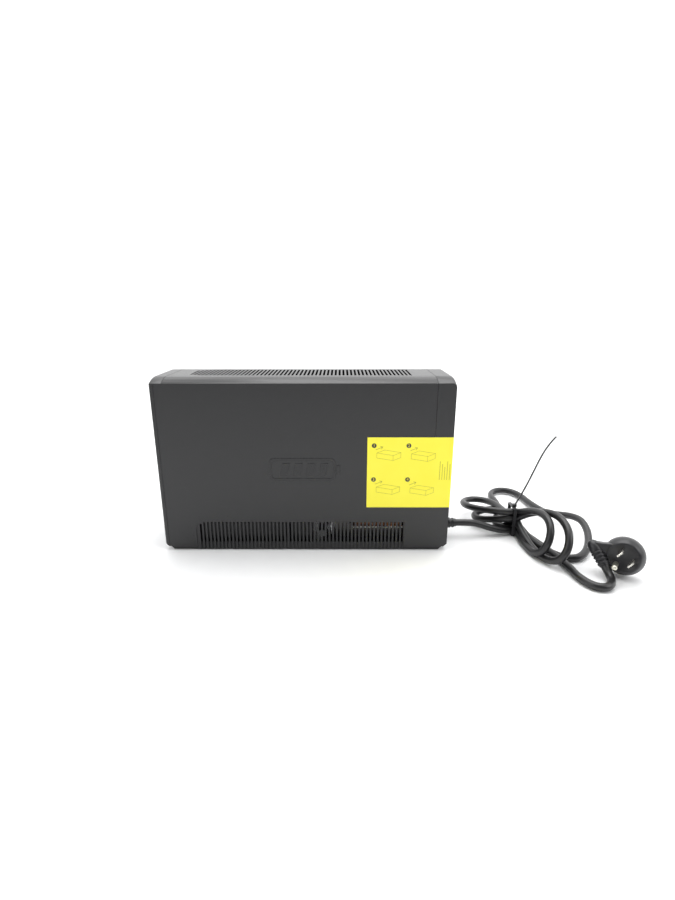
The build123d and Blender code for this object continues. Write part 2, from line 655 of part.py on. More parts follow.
with BuildPart() as breaker_button:
    with BuildSketch(Plane.YZ.offset(REAR_X + OUTLET_PROUD - 13)):
        with Locations((BREAKER_Y, BREAKER_Z)):
            Circle(BREAKER_BUTTON_RADIUS)
    extrude(amount=13)
    fillet(breaker_button.edges().group_by(Axis.X)[-1], radius=0.6)
breaker_button.part.label = "breaker_button"
export_step(breaker_button.part, "parts/breaker_button.step")

# ---------------------------------------------------------------------------- battery
with BuildPart() as battery_case:
    with BuildSketch(Plane.XY.offset(BATTERY_FOOT_Z)):
        with Locations(((BATTERY_FRONT_X + BATTERY_REAR_X) / 2, 0)):
            RectangleRounded(BATTERY_LENGTH, BATTERY_WIDTH, 2)
    extrude(amount=BATTERY_HEIGHT - BATTERY_LID)
battery_case.part.label = "battery_case"
export_step(battery_case.part, "parts/battery_case.step")

with BuildPart() as battery_lid:
    with BuildSketch(Plane.XY.offset(BATTERY_TOP_Z - BATTERY_LID)):
        with Locations(((BATTERY_FRONT_X + BATTERY_REAR_X) / 2, 0)):
            RectangleRounded(BATTERY_LENGTH, BATTERY_WIDTH, 2)
    extrude(amount=BATTERY_LID)
    fillet(battery_lid.edges().group_by(Axis.Z)[-1], radius=0.8)
    # shallow recess over the six vent valves
    with BuildSketch(Plane.XY.offset(BATTERY_TOP_Z)):
        with Locations(((BATTERY_FRONT_X + BATTERY_REAR_X) / 2 - 10, 0)):
            RectangleRounded(BATTERY_LENGTH - 50, 26, 3)
    extrude(amount=-1, mode=Mode.SUBTRACT)
battery_lid.part.label = "battery_lid"
export_step(battery_lid.part, "parts/battery_lid.step")

TAB_X = BATTERY_REAR_X - 8.0
TAB_TOP = BATTERY_TOP_Z + TAB_WIDTH
with BuildPart() as battery_terminals:
    for side in (-1, 1):
        y = side * TAB_SPACING / 2
        half = TAB_THICKNESS / 2
        add(block(TAB_X - 4, TAB_X + 4, y - half, y + half, BATTERY_TOP_Z, TAB_TOP))
battery_terminals.part.label = "battery_terminals"
export_step(battery_terminals.part, "parts/battery_terminals.step")

with BuildPart() as battery_pull_tab:
    # cloth ribbon glued to the front of the battery, with a loop to pull
    TAPE = 0.8
    tape_x = BATTERY_FRONT_X - TAPE
    add(block(tape_x, BATTERY_FRONT_X, -10, 10, BATTERY_FOOT_Z + 20, BATTERY_TOP_Z - 12))
    add(block(tape_x - 0.8, tape_x, -10, 10, BATTERY_TOP_Z - 40, BATTERY_TOP_Z - 14))
battery_pull_tab.part.label = "battery_pull_tab"
export_step(battery_pull_tab.part, "parts/battery_pull_tab.step")

with BuildPart() as battery_contacts:
    # two forks on the bay's end wall, open towards the front, that the tabs slide into
    LEAF_GAP = TAB_THICKNESS / 2 + 0.2
    LEAF = 0.5
    for side in (-1, 1):
        y = side * TAB_SPACING / 2
        for hand in (-1, 1):
            y_low, y_high = sorted((y + hand * LEAF_GAP, y + hand * (LEAF_GAP + LEAF)))
            add(block(TAB_X - 3, DIVIDER_X, y_low, y_high, BATTERY_TOP_Z + 1, TAB_TOP - 0.5))
        add(block(DIVIDER_X - 1, DIVIDER_X, y - 3, y + 3, BATTERY_TOP_Z + 1, DIVIDER_TOP + 1))
battery_contacts.part.label = "battery_contacts"
export_step(battery_contacts.part, "parts/battery_contacts.step")


def wire(points, radius, bend):
    """Round insulated lead along straight runs with rounded corners."""
    start = Vector(*points[0])
    heading = Vector(*points[1]) - start
    with BuildPart() as lead:
        with BuildLine() as route:
            if len(points) > 2:
                FilletPolyline(*points, radius=bend)
            else:
                Line(*points)
        with BuildSketch(Plane(origin=start, z_dir=heading)):
            Circle(radius)
        sweep(path=route.line)
    return lead.part


with BuildPart() as battery_leads:
    for side in (-1, 1):
        y = side * TAB_SPACING / 2
        x = DIVIDER_X - 0.5
        add(wire([(x, y, DIVIDER_TOP + 1), (x, y, BOARD_Z)], 1.7, 1.0))
battery_leads.part.label = "battery_leads"
export_step(battery_leads.part, "parts/battery_leads.step")

# ---------------------------------------------------------------------------- transformer
WINDOW_WIDTH = (CORE_LENGTH - 4 * CORE_LEG) / 2
WINDOW_HEIGHT = CORE_HEIGHT - 2 * CORE_LEG
with BuildPart() as transformer_core:
    with BuildSketch(Plane.XZ.offset(-CORE_STACK / 2)):
        with Locations((CORE_X, CORE_FOOT + CORE_HEIGHT / 2)):
            Rectangle(CORE_LENGTH, CORE_HEIGHT)
            with GridLocations(2 * CORE_LEG + WINDOW_WIDTH, 0, 2, 1):
                Rectangle(WINDOW_WIDTH, WINDOW_HEIGHT, mode=Mode.SUBTRACT)
    extrude(amount=CORE_STACK)
transformer_core.part.label = "transformer_core"
export_step(transformer_core.part, "parts/transformer_core.step")

TUBE_X = 2 * (CORE_LEG + BOBBIN_GAP)
TUBE_Y = CORE_STACK + 2 * BOBBIN_GAP
WINDING_FOOT = CORE_FOOT + CORE_LEG + BOBBIN_GAP
WINDING_TOP = CORE_TOP - CORE_LEG - BOBBIN_GAP
WINDING_MIDDLE = (WINDING_FOOT + WINDING_TOP) / 2
with BuildPart() as transformer_bobbin:
    with BuildSketch(Plane.XY.offset(WINDING_FOOT)):
        with Locations((CORE_X, 0)):
            Rectangle(TUBE_X + 2 * BOBBIN_WALL, TUBE_Y + 2 * BOBBIN_WALL)
    extrude(amount=WINDING_TOP - WINDING_FOOT)
    for z in (WINDING_FOOT, WINDING_MIDDLE - BOBBIN_WALL / 2, WINDING_TOP - BOBBIN_WALL):
        with BuildSketch(Plane.XY.offset(z)):
            with Locations((CORE_X, 0)):
                RectangleRounded(TUBE_X + 2 * WINDING_GROWTH + 6, TUBE_Y + 2 * WINDING_GROWTH + 2, 3)
        extrude(amount=BOBBIN_WALL)
    with BuildSketch(Plane.XY.offset(WINDING_FOOT)):
        with Locations((CORE_X, 0)):
            Rectangle(TUBE_X, TUBE_Y)
    extrude(amount=WINDING_TOP - WINDING_FOOT, mode=Mode.SUBTRACT)
transformer_bobbin.part.label = "transformer_bobbin"
export_step(transformer_bobbin.part, "parts/transformer_bobbin.step")


def winding(z_low, z_high):
    """Block of enamelled wire around the bobbin tube, between two flanges."""
    with BuildPart() as coil:
        with BuildSketch(Plane.XY.offset(z_low)):
            with Locations((CORE_X, 0)):
                RectangleRounded(TUBE_X + 2 * WINDING_GROWTH, TUBE_Y + 2 * WINDING_GROWTH - 2, 5)
                inner_x = TUBE_X + 2 * BOBBIN_WALL
                Rectangle(inner_x, TUBE_Y + 2 * BOBBIN_WALL, mode=Mode.SUBTRACT)
        extrude(amount=z_high - z_low)
    return coil


winding_secondary = winding(WINDING_FOOT + BOBBIN_WALL, WINDING_MIDDLE - BOBBIN_WALL / 2)
winding_secondary.part.label = "winding_secondary"
export_step(winding_secondary.part, "parts/winding_secondary.step")

winding_primary = winding(WINDING_MIDDLE + BOBBIN_WALL / 2, WINDING_TOP - BOBBIN_WALL)
winding_primary.part.label = "winding_primary"
export_step(winding_primary.part, "parts/winding_primary.step")

with BuildPart() as transformer_strap:
    strap_x0 = CORE_X - CORE_LENGTH / 2
    strap_x1 = CORE_X + CORE_LENGTH / 2
    foot_low = CORE_FOOT - STRAP
    half = STRAP_WIDTH / 2
    add(block(strap_x0 - STRAP, strap_x1 + STRAP, -half, half, CORE_TOP, CORE_TOP + STRAP))
    add(block(strap_x0 - STRAP, strap_x0, -half, half, foot_low, CORE_TOP + STRAP))
    add(block(strap_x1, strap_x1 + STRAP, -half, half, foot_low, CORE_TOP + STRAP))
    add(block(strap_x0 - STRAP - STRAP_FOOT, strap_x0, -half, half, foot_low, CORE_FOOT))
    add(block(strap_x1, strap_x1 + STRAP + STRAP_FOOT, -half, half, foot_low, CORE_FOOT))
    with BuildSketch(Plane.XY.offset(CORE_FOOT)):
        with Locations((CORE_X, 0)):
            with GridLocations(2 * FOOT_X, STRAP_WIDTH / 2, 2, 2):
                Circle(SCREW_RADIUS + 0.3)
    extrude(amount=-STRAP, mode=Mode.SUBTRACT)
transformer_strap.part.label = "transformer_strap"
export_step(transformer_strap.part, "parts/transformer_strap.step")


def screw(plane, shank, head_radius=SCREW_HEAD, radius=SCREW_RADIUS - 0.1):
    """Pan-head screw: head on the plane's normal side, shank into the other, cross recess."""
    with BuildPart() as body:
        with BuildSketch(plane):
            Circle(radius)
        extrude(amount=-shank)
        with BuildSketch(plane):
            Circle(head_radius)
        extrude(amount=SCREW_HEAD_HEIGHT)
        with BuildSketch(plane.offset(SCREW_HEAD_HEIGHT)):
            Rectangle(head_radius * 1.2, 0.8)
            Rectangle(0.8, head_radius * 1.2)
        extrude(amount=-1.0, mode=Mode.SUBTRACT)
    return body.part


with BuildPart() as transformer_screws:
    for x in (CORE_X - FOOT_X, CORE_X + FOOT_X):
        for y in (-STRAP_WIDTH / 4, STRAP_WIDTH / 4):
            add(screw(Plane(origin=(x, y, CORE_FOOT), z_dir=(0, 0, 1)), 6.5, radius=SCREW_RADIUS - 0.15))
transformer_screws.part.label = "transformer_screws"
export_step(transformer_screws.part, "parts/transformer_screws.step")

with BuildPart() as transformer_leads:
    for x in (CORE_X - 10, CORE_X + 10):
        for side in (-1, 1):
            y = side * (TUBE_Y / 2 + WINDING_GROWTH / 2)
            add(wire([(x, y, WINDING_TOP), (x, y, BOARD_Z)], 1.5, 1.0))
transformer_leads.part.label = "transformer_leads"
export_step(transformer_leads.part, "parts/transformer_leads.step")

# ---------------------------------------------------------------------------- main board
BOARD_MIDDLE = (BOARD_FRONT + BOARD_REAR) / 2
BOARD_HOLES = [(x, side * POST_Y) for x in POST_X for side in (-1, 1)]
with BuildPart() as main_board:
    with BuildSketch(Plane.XY.offset(BOARD_Z)):
        with Locations((BOARD_MIDDLE, 0)):
            RectangleRounded(BOARD_REAR - BOARD_FRONT, BOARD_WIDTH, 2)
        with Locations(*BOARD_HOLES):
            Circle(POST_BORE + 0.3, mode=Mode.SUBTRACT)
    extrude(amount=BOARD)
main_board.part.label = "main_board"
export_step(main_board.part, "parts/main_board.step")

with BuildPart() as board_screws:
    for x, y in BOARD_HOLES:
        add(screw(Plane(origin=(x, y, BOARD_TOP_Z), z_dir=(0, 0, 1)), 9.0, 2.4, POST_BORE))
board_screws.part.label = "board_screws"
export_step(board_screws.part, "parts/board_screws.step")

SINK_WEB = 3.0
SINK_Y = 12.0
SINK_FINS = 6
with BuildPart() as heat_sinks:
    for side in (-1, 1):
        y_low, y_high = sorted((side * SINK_Y, side * (SINK_Y + SINK_WEB)))
        x0, x1 = SINK_X - SINK_LENGTH / 2, SINK_X + SINK_LENGTH / 2
        add(block(x0, x1, y_low, y_high, BOARD_TOP_Z, BOARD_TOP_Z + SINK_HEIGHT))
        f_low, f_high = sorted((side * (SINK_Y + SINK_WEB), side * (SINK_Y + SINK_WEB + SINK_FIN)))
        for i in range(SINK_FINS):
            z = BOARD_TOP_Z + SINK_HEIGHT - 1 - 6.0 * i
            add(block(x0, x1, f_low, f_high, z - 1, z))
heat_sinks.part.label = "heat_sinks"
export_step(heat_sinks.part, "parts/heat_sinks.step")

with BuildPart() as power_transistors:
    for side in (-1, 1):
        for i in range(4):
            x = SINK_X + 22 * (i - 1.5)
            tab_low, tab_high = sorted((side * SINK_Y, side * (SINK_Y - 1.3)))
            body_low, body_high = sorted((side * SINK_Y, side * (SINK_Y - 4.5)))
            add(block(x - 5, x + 5, body_low, body_high, BOARD_TOP_Z + 14, BOARD_TOP_Z + 23))
            add(block(x - 5, x + 5, tab_low, tab_high, BOARD_TOP_Z + 23, BOARD_TOP_Z + 29.5))
            for pin in (-2.5, 0, 2.5):
                y = side * (SINK_Y - 2.6)
                add(block(x + pin - 0.4, x + pin + 0.4, y - 0.3, y + 0.3, BOARD_TOP_Z, BOARD_TOP_Z + 14))
power_transistors.part.label = "power_transistors"
export_step(power_transistors.part, "parts/power_transistors.step")

with BuildPart() as capacitors:
    for x, y, radius, height in (
        (-100.0, -22.0, 11.0, 36.0),
        (-100.0, 6.0, 11.0, 36.0),
        (-86.0, 31.0, 6.5, 22.0),
        (50.0, -30.0, 8.0, 26.0),
        (46.0, 31.0, 5.0, 14.0),
    ):
        with BuildSketch(Plane.XY.offset(BOARD_TOP_Z)):
            with Locations((x, y)):
                Circle(radius)
        extrude(amount=height)
    fillet(capacitors.edges().filter_by(GeomType.CIRCLE), radius=0.8)
capacitors.part.label = "capacitors"
export_step(capacitors.part, "parts/capacitors.step")

RELAY_COUNT = 4
with BuildPart() as relays:
    for i in range(RELAY_COUNT):
        with BuildSketch(Plane.XY.offset(BOARD_TOP_Z)):
            with Locations((112, 13 - 17.5 * i + 8.75)):
                Rectangle(19, 15.5)
        extrude(amount=20)
    fillet(relays.edges().group_by(Axis.Z)[-1], radius=0.6)
relays.part.label = "relays"
export_step(relays.part, "parts/relays.step")

with BuildPart() as filter_choke:
    # ring core wound with thick wire, standing on the board
    choke_plane = Plane(origin=(76, 4, BOARD_TOP_Z + 15), z_dir=(1, 0, 0))
    with BuildSketch(choke_plane):
        Circle(15)
        Circle(6, mode=Mode.SUBTRACT)
    extrude(amount=14)
    fillet(filter_choke.edges().filter_by(GeomType.CIRCLE), radius=2.5)
filter_choke.part.label = "filter_choke"
export_step(filter_choke.part, "parts/filter_choke.step")

with BuildPart() as fuses:
    for y in (-34.0, -24.0):
        with BuildSketch(Plane.XY.offset(BOARD_TOP_Z)):
            with Locations((84, y)):
                Rectangle(20, 6)
        extrude(amount=5)
        with BuildSketch(Plane.XY.offset(BOARD_TOP_Z + 5)):
            with Locations((84, y)):
                Rectangle(18.5, 4)
        extrude(amount=11)
fuses.part.label = "fuses"
export_step(fuses.part, "parts/fuses.step")

with BuildPart() as buzzer:
    with BuildSketch(Plane.XY.offset(BOARD_TOP_Z)):
        with Locations((-116, 26)):
            Circle(6)
    extrude(amount=9.5)
    with BuildSketch(Plane.XY.offset(BOARD_TOP_Z + 9.5)):
        with Locations((-116, 26)):
            Circle(1.2)
    extrude(amount=-2, mode=Mode.SUBTRACT)
buzzer.part.label = "buzzer"
export_step(buzzer.part, "parts/buzzer.step")

with BuildPart() as display_ribbon:
    # flat cable from the display board down to the front edge of the main board
    ribbon_x = DISPLAY_BOARD_X + BOARD
    ribbon_z = BOARD_TOP_Z + 5
    with BuildSketch(Plane.XZ.offset(-8)):
        with BuildLine():
            Polyline(
                (ribbon_x, ribbon_z),
                (BOARD_FRONT + 4, ribbon_z),
                (BOARD_FRONT + 4, BOARD_TOP_Z),
                (BOARD_FRONT + 5, BOARD_TOP_Z),
                (BOARD_FRONT + 5, ribbon_z + 1),
                (ribbon_x, ribbon_z + 1),
                close=True,
            )
        make_face()
    extrude(amount=16)
display_ribbon.part.label = "display_ribbon"
export_step(display_ribbon.part, "parts/display_ribbon.step")

with BuildPart() as outlet_leads:
    for y in (OUTLET_COLUMNS[0], OUTLET_COLUMNS[1]):
        for offset_y in (-BLADE_SPACING / 2, 0, BLADE_SPACING / 2):
            x0 = OUTLET_BACK_X - BUS_THICKNESS
            z = BOARD_TOP_Z + 6
            x1 = BOARD_REAR - 4
            lead_y = y + offset_y
            add(wire([(x0, lead_y, z), (x1, lead_y, z), (x1, lead_y, BOARD_TOP_Z)], 1.3, 3.0))
outlet_leads.part.label = "outlet_leads"
export_step(outlet_leads.part, "parts/outlet_leads.step")

with BuildPart() as shell_screws:
    head_y = SIDE_Y - SCREW_HEAD_HEIGHT - 0.6
    for x, z in BOSS_POINTS:
        add(screw(Plane(origin=(x, head_y, z), z_dir=(0, 1, 0)), head_y + 14, radius=SCREW_RADIUS - 0.15))
shell_screws.part.label = "shell_screws"
export_step(shell_screws.part, "parts/shell_screws.step")

# ---------------------------------------------------------------------------- label
with BuildPart() as instruction_label:
    add(block(LABEL_FRONT, REAR_X, -SIDE_Y - LABEL_THICKNESS, -SIDE_Y, LABEL_FOOT, LABEL_TOP))
    wrap_y = -SIDE_Y + LABEL_WRAP
    rear = REAR_X + LABEL_THICKNESS
    add(block(REAR_X, rear, -SIDE_Y - LABEL_THICKNESS, wrap_y, LABEL_FOOT, LABEL_TOP))
instruction_label.part.label = "instruction_label"
export_step(instruction_label.part, "parts/instruction_label.step")

# ---------------------------------------------------------------------------- cord
with BuildPart() as cord_gland:
    # flanged grommet through the rear wall with a tapered, ribbed nose
    gland_plane = Plane(origin=(REAR_INNER_X - 4, CORD_Y, CORD_Z), z_dir=(1, 0, 0))
    through = 4 + REAR_WALL
    with BuildSketch(gland_plane):
        Circle(GLAND_HOLE - 0.1)
    extrude(amount=through)
    with BuildSketch(gland_plane.offset(through)):
        Circle(GLAND_HOLE + 1.5)
    extrude(amount=2.0)
    with BuildSketch(gland_plane.offset(through + 2.0)):
        Circle(GLAND_HOLE - 0.6)
    with BuildSketch(gland_plane.offset(through + GLAND_LENGTH)):
        Circle(CORD_DIAMETER / 2 + 0.6)
    loft()
    for i in range(3):
        with BuildSketch(gland_plane.offset(through + 4.0 + 4.2 * i)):
            Circle(GLAND_HOLE + 0.2 - 0.3 * i)
        extrude(amount=2.0)
cord_gland.part.label = "cord_gland"
export_step(cord_gland.part, "parts/cord_gland.step")

with BuildPart() as mains_leads:
    x0 = REAR_INNER_X - 4
    for offset_y in (-3.2, 0, 3.2):
        y = CORD_Y + offset_y
        run_x = REAR_SEAM_X - 2.5
        points = [(x0, y, CORD_Z), (run_x, y, CORD_Z), (run_x, y, 98), (128, y, 106), (128, y, BOARD_Z)]
        add(wire(points, 1.3, 4.0))
mains_leads.part.label = "mains_leads"
export_step(mains_leads.part, "parts/mains_leads.step")


def corner_radii(points):
    """Radius of the arc at each inner point: as large as its two straight runs allow."""
    radii = []
    for before, here, after in zip(points, points[1:], points[2:]):
        a = Vector(*here) - Vector(*before)
        b = Vector(*after) - Vector(*here)
        turn = radians(a.get_angle(b))
        radii.append(0.45 * min(a.length, b.length) / tan(turn / 2))
    return radii


def cord_tube(points, name):
    """Round cord along straight runs joined by arcs; prints its radii, length and volume."""
    radii = corner_radii(points)
    start = Vector(*points[0])
    heading = Vector(*points[1]) - start
    with BuildPart() as tube:
        with BuildLine() as route:
            FilletPolyline(*points, radius=radii)
        with BuildSketch(Plane(origin=start, z_dir=heading)):
            Circle(CORD_DIAMETER / 2)
        sweep(path=route.line)
    length = sum(edge.length for edge in route.edges())
    expected = pi * (CORD_DIAMETER / 2) ** 2 * length
    print(name, "radii", [round(r, 1) for r in radii], "length", round(length, 1))
    print(name, "volume", round(tube.part.volume), "section x length", round(expected))
    return tube


# from the gland down to the tied hank
LEAD_POINTS = [
    (REAR_X + GLAND_LENGTH, CORD_Y, CORD_Z),
    (184.0, -10.0, 17.0),
    (197.0, -9.4, 15.8),
    (210.0, -9.4, 11.2),
    (222.0, -10.0, CORD_DIAMETER),
    (HANK_FACE_X, -10.0, CORD_DIAMETER),
]
cord_lead = cord_tube(LEAD_POINTS, "cord_lead")
cord_lead.part.label = "cord_lead"
export_step(cord_lead.part, "parts/cord_lead.step")

NECK_FOOT = TIE_STRAP + 0.4
NECK_Y = (TIE_Y - NECK_WIDTH / 2, TIE_Y + NECK_WIDTH / 2)
TIE_PLANE = Plane.YZ.offset(TIE_X - TIE_WIDTH / 2)
with BuildPart() as cord_hank:
    # low spread of turns on both sides of the tie
    with BuildSketch(Plane.XY.offset(0.2)):
        with BuildLine():
            Polyline(
                (HANK_FACE_X, -20.0),
                (HANK_FACE_X, -2.0),
                (204.0, 22.0),
                (197.0, 62.0),
                (208.0, 98.0),
                (240.0, 120.0),
                (268.0, 138.0),
                (292.0, 118.0),
                (300.0, 62.0),
                (324.0, 28.0),
                (331.0, -14.0),
                (314.0, -50.0),
                (296.0, -68.0),
                (279.0, HANK_FACE_Y),
                (252.0, HANK_FACE_Y),
                (236.0, -76.0),
                (228.0, -44.0),
                close=True,
            )
        make_face()
    extrude(amount=HANK_LOW)
    # turns that stand higher where they gather at the tie
    with BuildSketch(Plane.XY.offset(HANK_LOW)):
        with BuildLine():
            Polyline(
                (HANK_FACE_X, NECK_Y[0]),
                (HANK_FACE_X, NECK_Y[1]),
                (222.0, 38.0),
                (240.0, 50.0),
                (262.0, 16.0),
                (292.0, 14.0),
                (304.0, -12.0),
                (288.0, -44.0),
                (258.0, -42.0),
                close=True,
            )
        make_face()
    extrude(amount=NECK_TOP - HANK_LOW)
    # ring-shaped channel that the tie lies in
    with BuildSketch(TIE_PLANE.offset(-0.2)):
        with Locations((TIE_Y, NECK_TOP / 2)):
            Rectangle(NECK_WIDTH + 2 * TIE_STRAP + 0.8, NECK_TOP + 2 * TIE_STRAP + 0.8)
        with Locations((TIE_Y, (NECK_TOP + NECK_FOOT) / 2)):
            Rectangle(NECK_WIDTH, NECK_TOP - NECK_FOOT, mode=Mode.SUBTRACT)
    extrude(amount=TIE_WIDTH + 0.4, mode=Mode.SUBTRACT)
cord_hank.part.label = "cord_hank"
export_step(cord_hank.part, "parts/cord_hank.step")

with BuildPart() as cable_tie:
    # strap drawn round the neck of the hank
    with BuildSketch(TIE_PLANE):
        with Locations((TIE_Y, (NECK_TOP + NECK_FOOT) / 2)):
            Rectangle(NECK_WIDTH + 2 * TIE_STRAP + 0.2, NECK_TOP - NECK_FOOT + 2 * TIE_STRAP + 0.2)
            Rectangle(NECK_WIDTH + 0.2, NECK_TOP - NECK_FOOT + 0.2, mode=Mode.SUBTRACT)
    extrude(amount=TIE_WIDTH)
    # ratchet head on top
    head_z = NECK_TOP + TIE_STRAP + 0.1
    add(block(TIE_X - 2.2, TIE_X + 2.8, -6.0, -2.0, head_z, head_z + 3.6))
    # free end of the strap, standing up and leaning to the rear
    with BuildLine() as tail_route:
        Spline(
            (TIE_X + 1, -4.0, head_z + 2),
            (248.0, -3.0, 50.0),
            (258.0, -1.5, 73.0),
            (270.0, -0.5, 102.0),
            (281.0, 0.0, 118.0),
        )
    tail_start = tail_route.line @ 0
    with BuildSketch(Plane(origin=tail_start, x_dir=(0, 1, 0), z_dir=tail_route.line % 0)):
        Rectangle(2.6, 1.1)
    sweep(path=tail_route.line)
cable_tie.part.label = "cable_tie"
export_step(cable_tie.part, "parts/cable_tie.step")

# moulded right-angle plug, lying on the floor on its rim with its blades towards the front
YAW = radians(PLUG_YAW)
TILT = radians(PLUG_TILT)
PLUG_NORMAL = (-sin(YAW) * cos(TILT), -cos(YAW) * cos(TILT), sin(TILT))
PLUG_ACROSS = (cos(YAW), -sin(YAW), 0)
PLUG_PLANE = Plane(origin=PLUG_FACE, x_dir=PLUG_ACROSS, z_dir=PLUG_NORMAL)
KNUCKLE = PLUG_PLANE.from_local_coords(Vector(-PLUG_ARM, PLUG_ARM_LIFT, -KNUCKLE_DEPTH))
RELIEF_HEADING = Vector(*RELIEF_END) - KNUCKLE
with BuildPart() as plug_body:
    RIM_DEPTH = PLUG_THICKNESS * 0.4
    with BuildSketch(PLUG_PLANE):
        Circle(PLUG_FACE_RADIUS)
    with BuildSketch(PLUG_PLANE.offset(-RIM_DEPTH)):
        Circle(PLUG_RADIUS)
    loft()
    with BuildSketch(PLUG_PLANE.offset(-RIM_DEPTH)):
        Circle(PLUG_RADIUS)
    extrude(amount=RIM_DEPTH - PLUG_THICKNESS)
    # arm that tapers to the knuckle
    with BuildSketch(PLUG_PLANE.offset(-0.8)):
        Circle(PLUG_ARM_ROOT)
        with Locations((-PLUG_ARM, PLUG_ARM_LIFT)):
            Circle(KNUCKLE_RADIUS - 0.8)
        make_hull()
    extrude(amount=-PLUG_ARM_THICKNESS)
    with Locations(KNUCKLE):
        Sphere(KNUCKLE_RADIUS)
    # ribbed strain relief from the knuckle down to the cord
    relief_plane = Plane(origin=KNUCKLE, z_dir=RELIEF_HEADING)
    with BuildSketch(relief_plane):
        Circle(RELIEF_RADIUS)
    with BuildSketch(relief_plane.offset(RELIEF_HEADING.length)):
        Circle(RELIEF_END_RADIUS)
    loft()
    for i in range(4):
        with BuildSketch(relief_plane.offset(8.0 + 3.6 * i)):
            Circle(RELIEF_RADIUS + RELIEF_RIB - 0.2 * i)
        extrude(amount=1.9)
plug_body.part.label = "plug_body"
export_step(plug_body.part, "parts/plug_body.step")

TURN = radians(PLUG_TURN)
PIN_ACROSS = PLUG_PLANE.from_local_coords(Vector(cos(TURN), sin(TURN), 0)) - Vector(*PLUG_FACE)
PIN_PLANE = Plane(origin=PLUG_FACE, x_dir=PIN_ACROSS, z_dir=PLUG_NORMAL)
with BuildPart() as plug_blades:
    with BuildSketch(PIN_PLANE):
        with Locations((BLADE_OFFSET, BLADE_SPACING / 2), (BLADE_OFFSET, -BLADE_SPACING / 2)):
            Rectangle(BLADE_WIDTH, BLADE_THICKNESS)
    extrude(amount=BLADE_LENGTH)
plug_blades.part.label = "plug_blades"
export_step(plug_blades.part, "parts/plug_blades.step")

with BuildPart() as plug_ground_pin:
    with BuildSketch(PIN_PLANE):
        with Locations((BLADE_OFFSET - GROUND_OFFSET, 0)):
            Circle(GROUND_PIN_RADIUS)
    extrude(amount=GROUND_LENGTH)
    fillet(plug_ground_pin.edges().filter_by(GeomType.CIRCLE).sort_by(Axis.Y)[0], radius=1.6)
plug_ground_pin.part.label = "plug_ground_pin"
export_step(plug_ground_pin.part, "parts/plug_ground_pin.step")

# from the hank out over the floor, round and up into the plug's strain relief
TAIL_POINTS = [
    (271.0, HANK_FACE_Y, 4.2),
    (271.0, -102.5, 4.2),
    (273.5, -113.5, 4.2),
    (279.5, -124.5, 4.2),
    (290.5, -126.5, 4.2),
    (299.0, -117.5, 4.2),
    (302.18, -107.37, 5.67),
    RELIEF_END,
]
cord_tail = cord_tube(TAIL_POINTS, "cord_tail")
cord_tail.part.label = "cord_tail"
export_step(cord_tail.part, "parts/cord_tail.step")
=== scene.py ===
import json
from math import cos, pi, radians, sin

import bmesh
import bpy
from mathutils import Matrix, Vector


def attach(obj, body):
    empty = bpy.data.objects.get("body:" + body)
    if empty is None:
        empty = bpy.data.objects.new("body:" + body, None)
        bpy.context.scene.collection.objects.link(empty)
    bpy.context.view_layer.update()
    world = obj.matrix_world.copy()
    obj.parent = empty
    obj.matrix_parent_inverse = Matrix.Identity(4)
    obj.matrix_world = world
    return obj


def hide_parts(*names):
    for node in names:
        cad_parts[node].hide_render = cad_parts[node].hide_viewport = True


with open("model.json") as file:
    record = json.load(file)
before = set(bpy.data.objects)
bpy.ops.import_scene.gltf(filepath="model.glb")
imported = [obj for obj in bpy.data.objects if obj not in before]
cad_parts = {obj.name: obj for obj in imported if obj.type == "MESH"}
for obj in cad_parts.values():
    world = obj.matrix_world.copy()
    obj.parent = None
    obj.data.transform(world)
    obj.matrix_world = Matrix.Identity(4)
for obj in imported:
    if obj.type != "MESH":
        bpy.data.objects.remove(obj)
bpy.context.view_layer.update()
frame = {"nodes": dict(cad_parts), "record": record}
nodes = frame["nodes"]
MM = 0.001
MERGE_DISTANCE = 0.00001

# ------------------------------------------------------------------ camera, floor and lights
scene = bpy.context.scene
scene.view_settings.view_transform = "Standard"

LENS = 19.54
SENSOR_WIDTH = 36.0
CAMERA_PLACE = (0.0379, -0.5322, 0.2607)
CAMERA_YAW = radians(0.343)
CAMERA_PITCH = radians(90 - 16.594)
CAMERA_ROLL = radians(-0.089)
camera_data = bpy.data.cameras.new("camera")
camera_data.lens = LENS
camera_data.sensor_width = SENSOR_WIDTH
camera_data.clip_end = 50.0
camera = bpy.data.objects.new("camera", camera_data)
scene.collection.objects.link(camera)
heading = Matrix.Rotation(CAMERA_YAW, 4, "Z") @ Matrix.Rotation(CAMERA_PITCH, 4, "X")
roll = Matrix.Rotation(CAMERA_ROLL, 4, "Z")
camera.matrix_world = Matrix.Translation(CAMERA_PLACE) @ heading @ roll
scene.camera = camera


def area_light(name, place, target, size, watts):
    """Square soft box at a place, facing a target."""
    data = bpy.data.lights.new(name, "AREA")
    data.size = size
    data.energy = watts
    lamp = bpy.data.objects.new(name, data)
    lamp.location = place
    aim = Vector(target) - Vector(place)
    lamp.rotation_euler = aim.to_track_quat("-Z", "Y").to_euler()
    scene.collection.objects.link(lamp)


area_light("top_soft_box", (0.15, 0.35, 1.7), (0.05, 0.0, 0.0), 1.6, 24.0)
area_light("right_soft_box", (1.5, -0.7, 1.1), (0.1, 0.0, 0.05), 1.0, 9.0)
area_light("left_soft_box", (-1.5, -0.8, 1.0), (0.0, 0.0, 0.1), 1.0, 5.0)

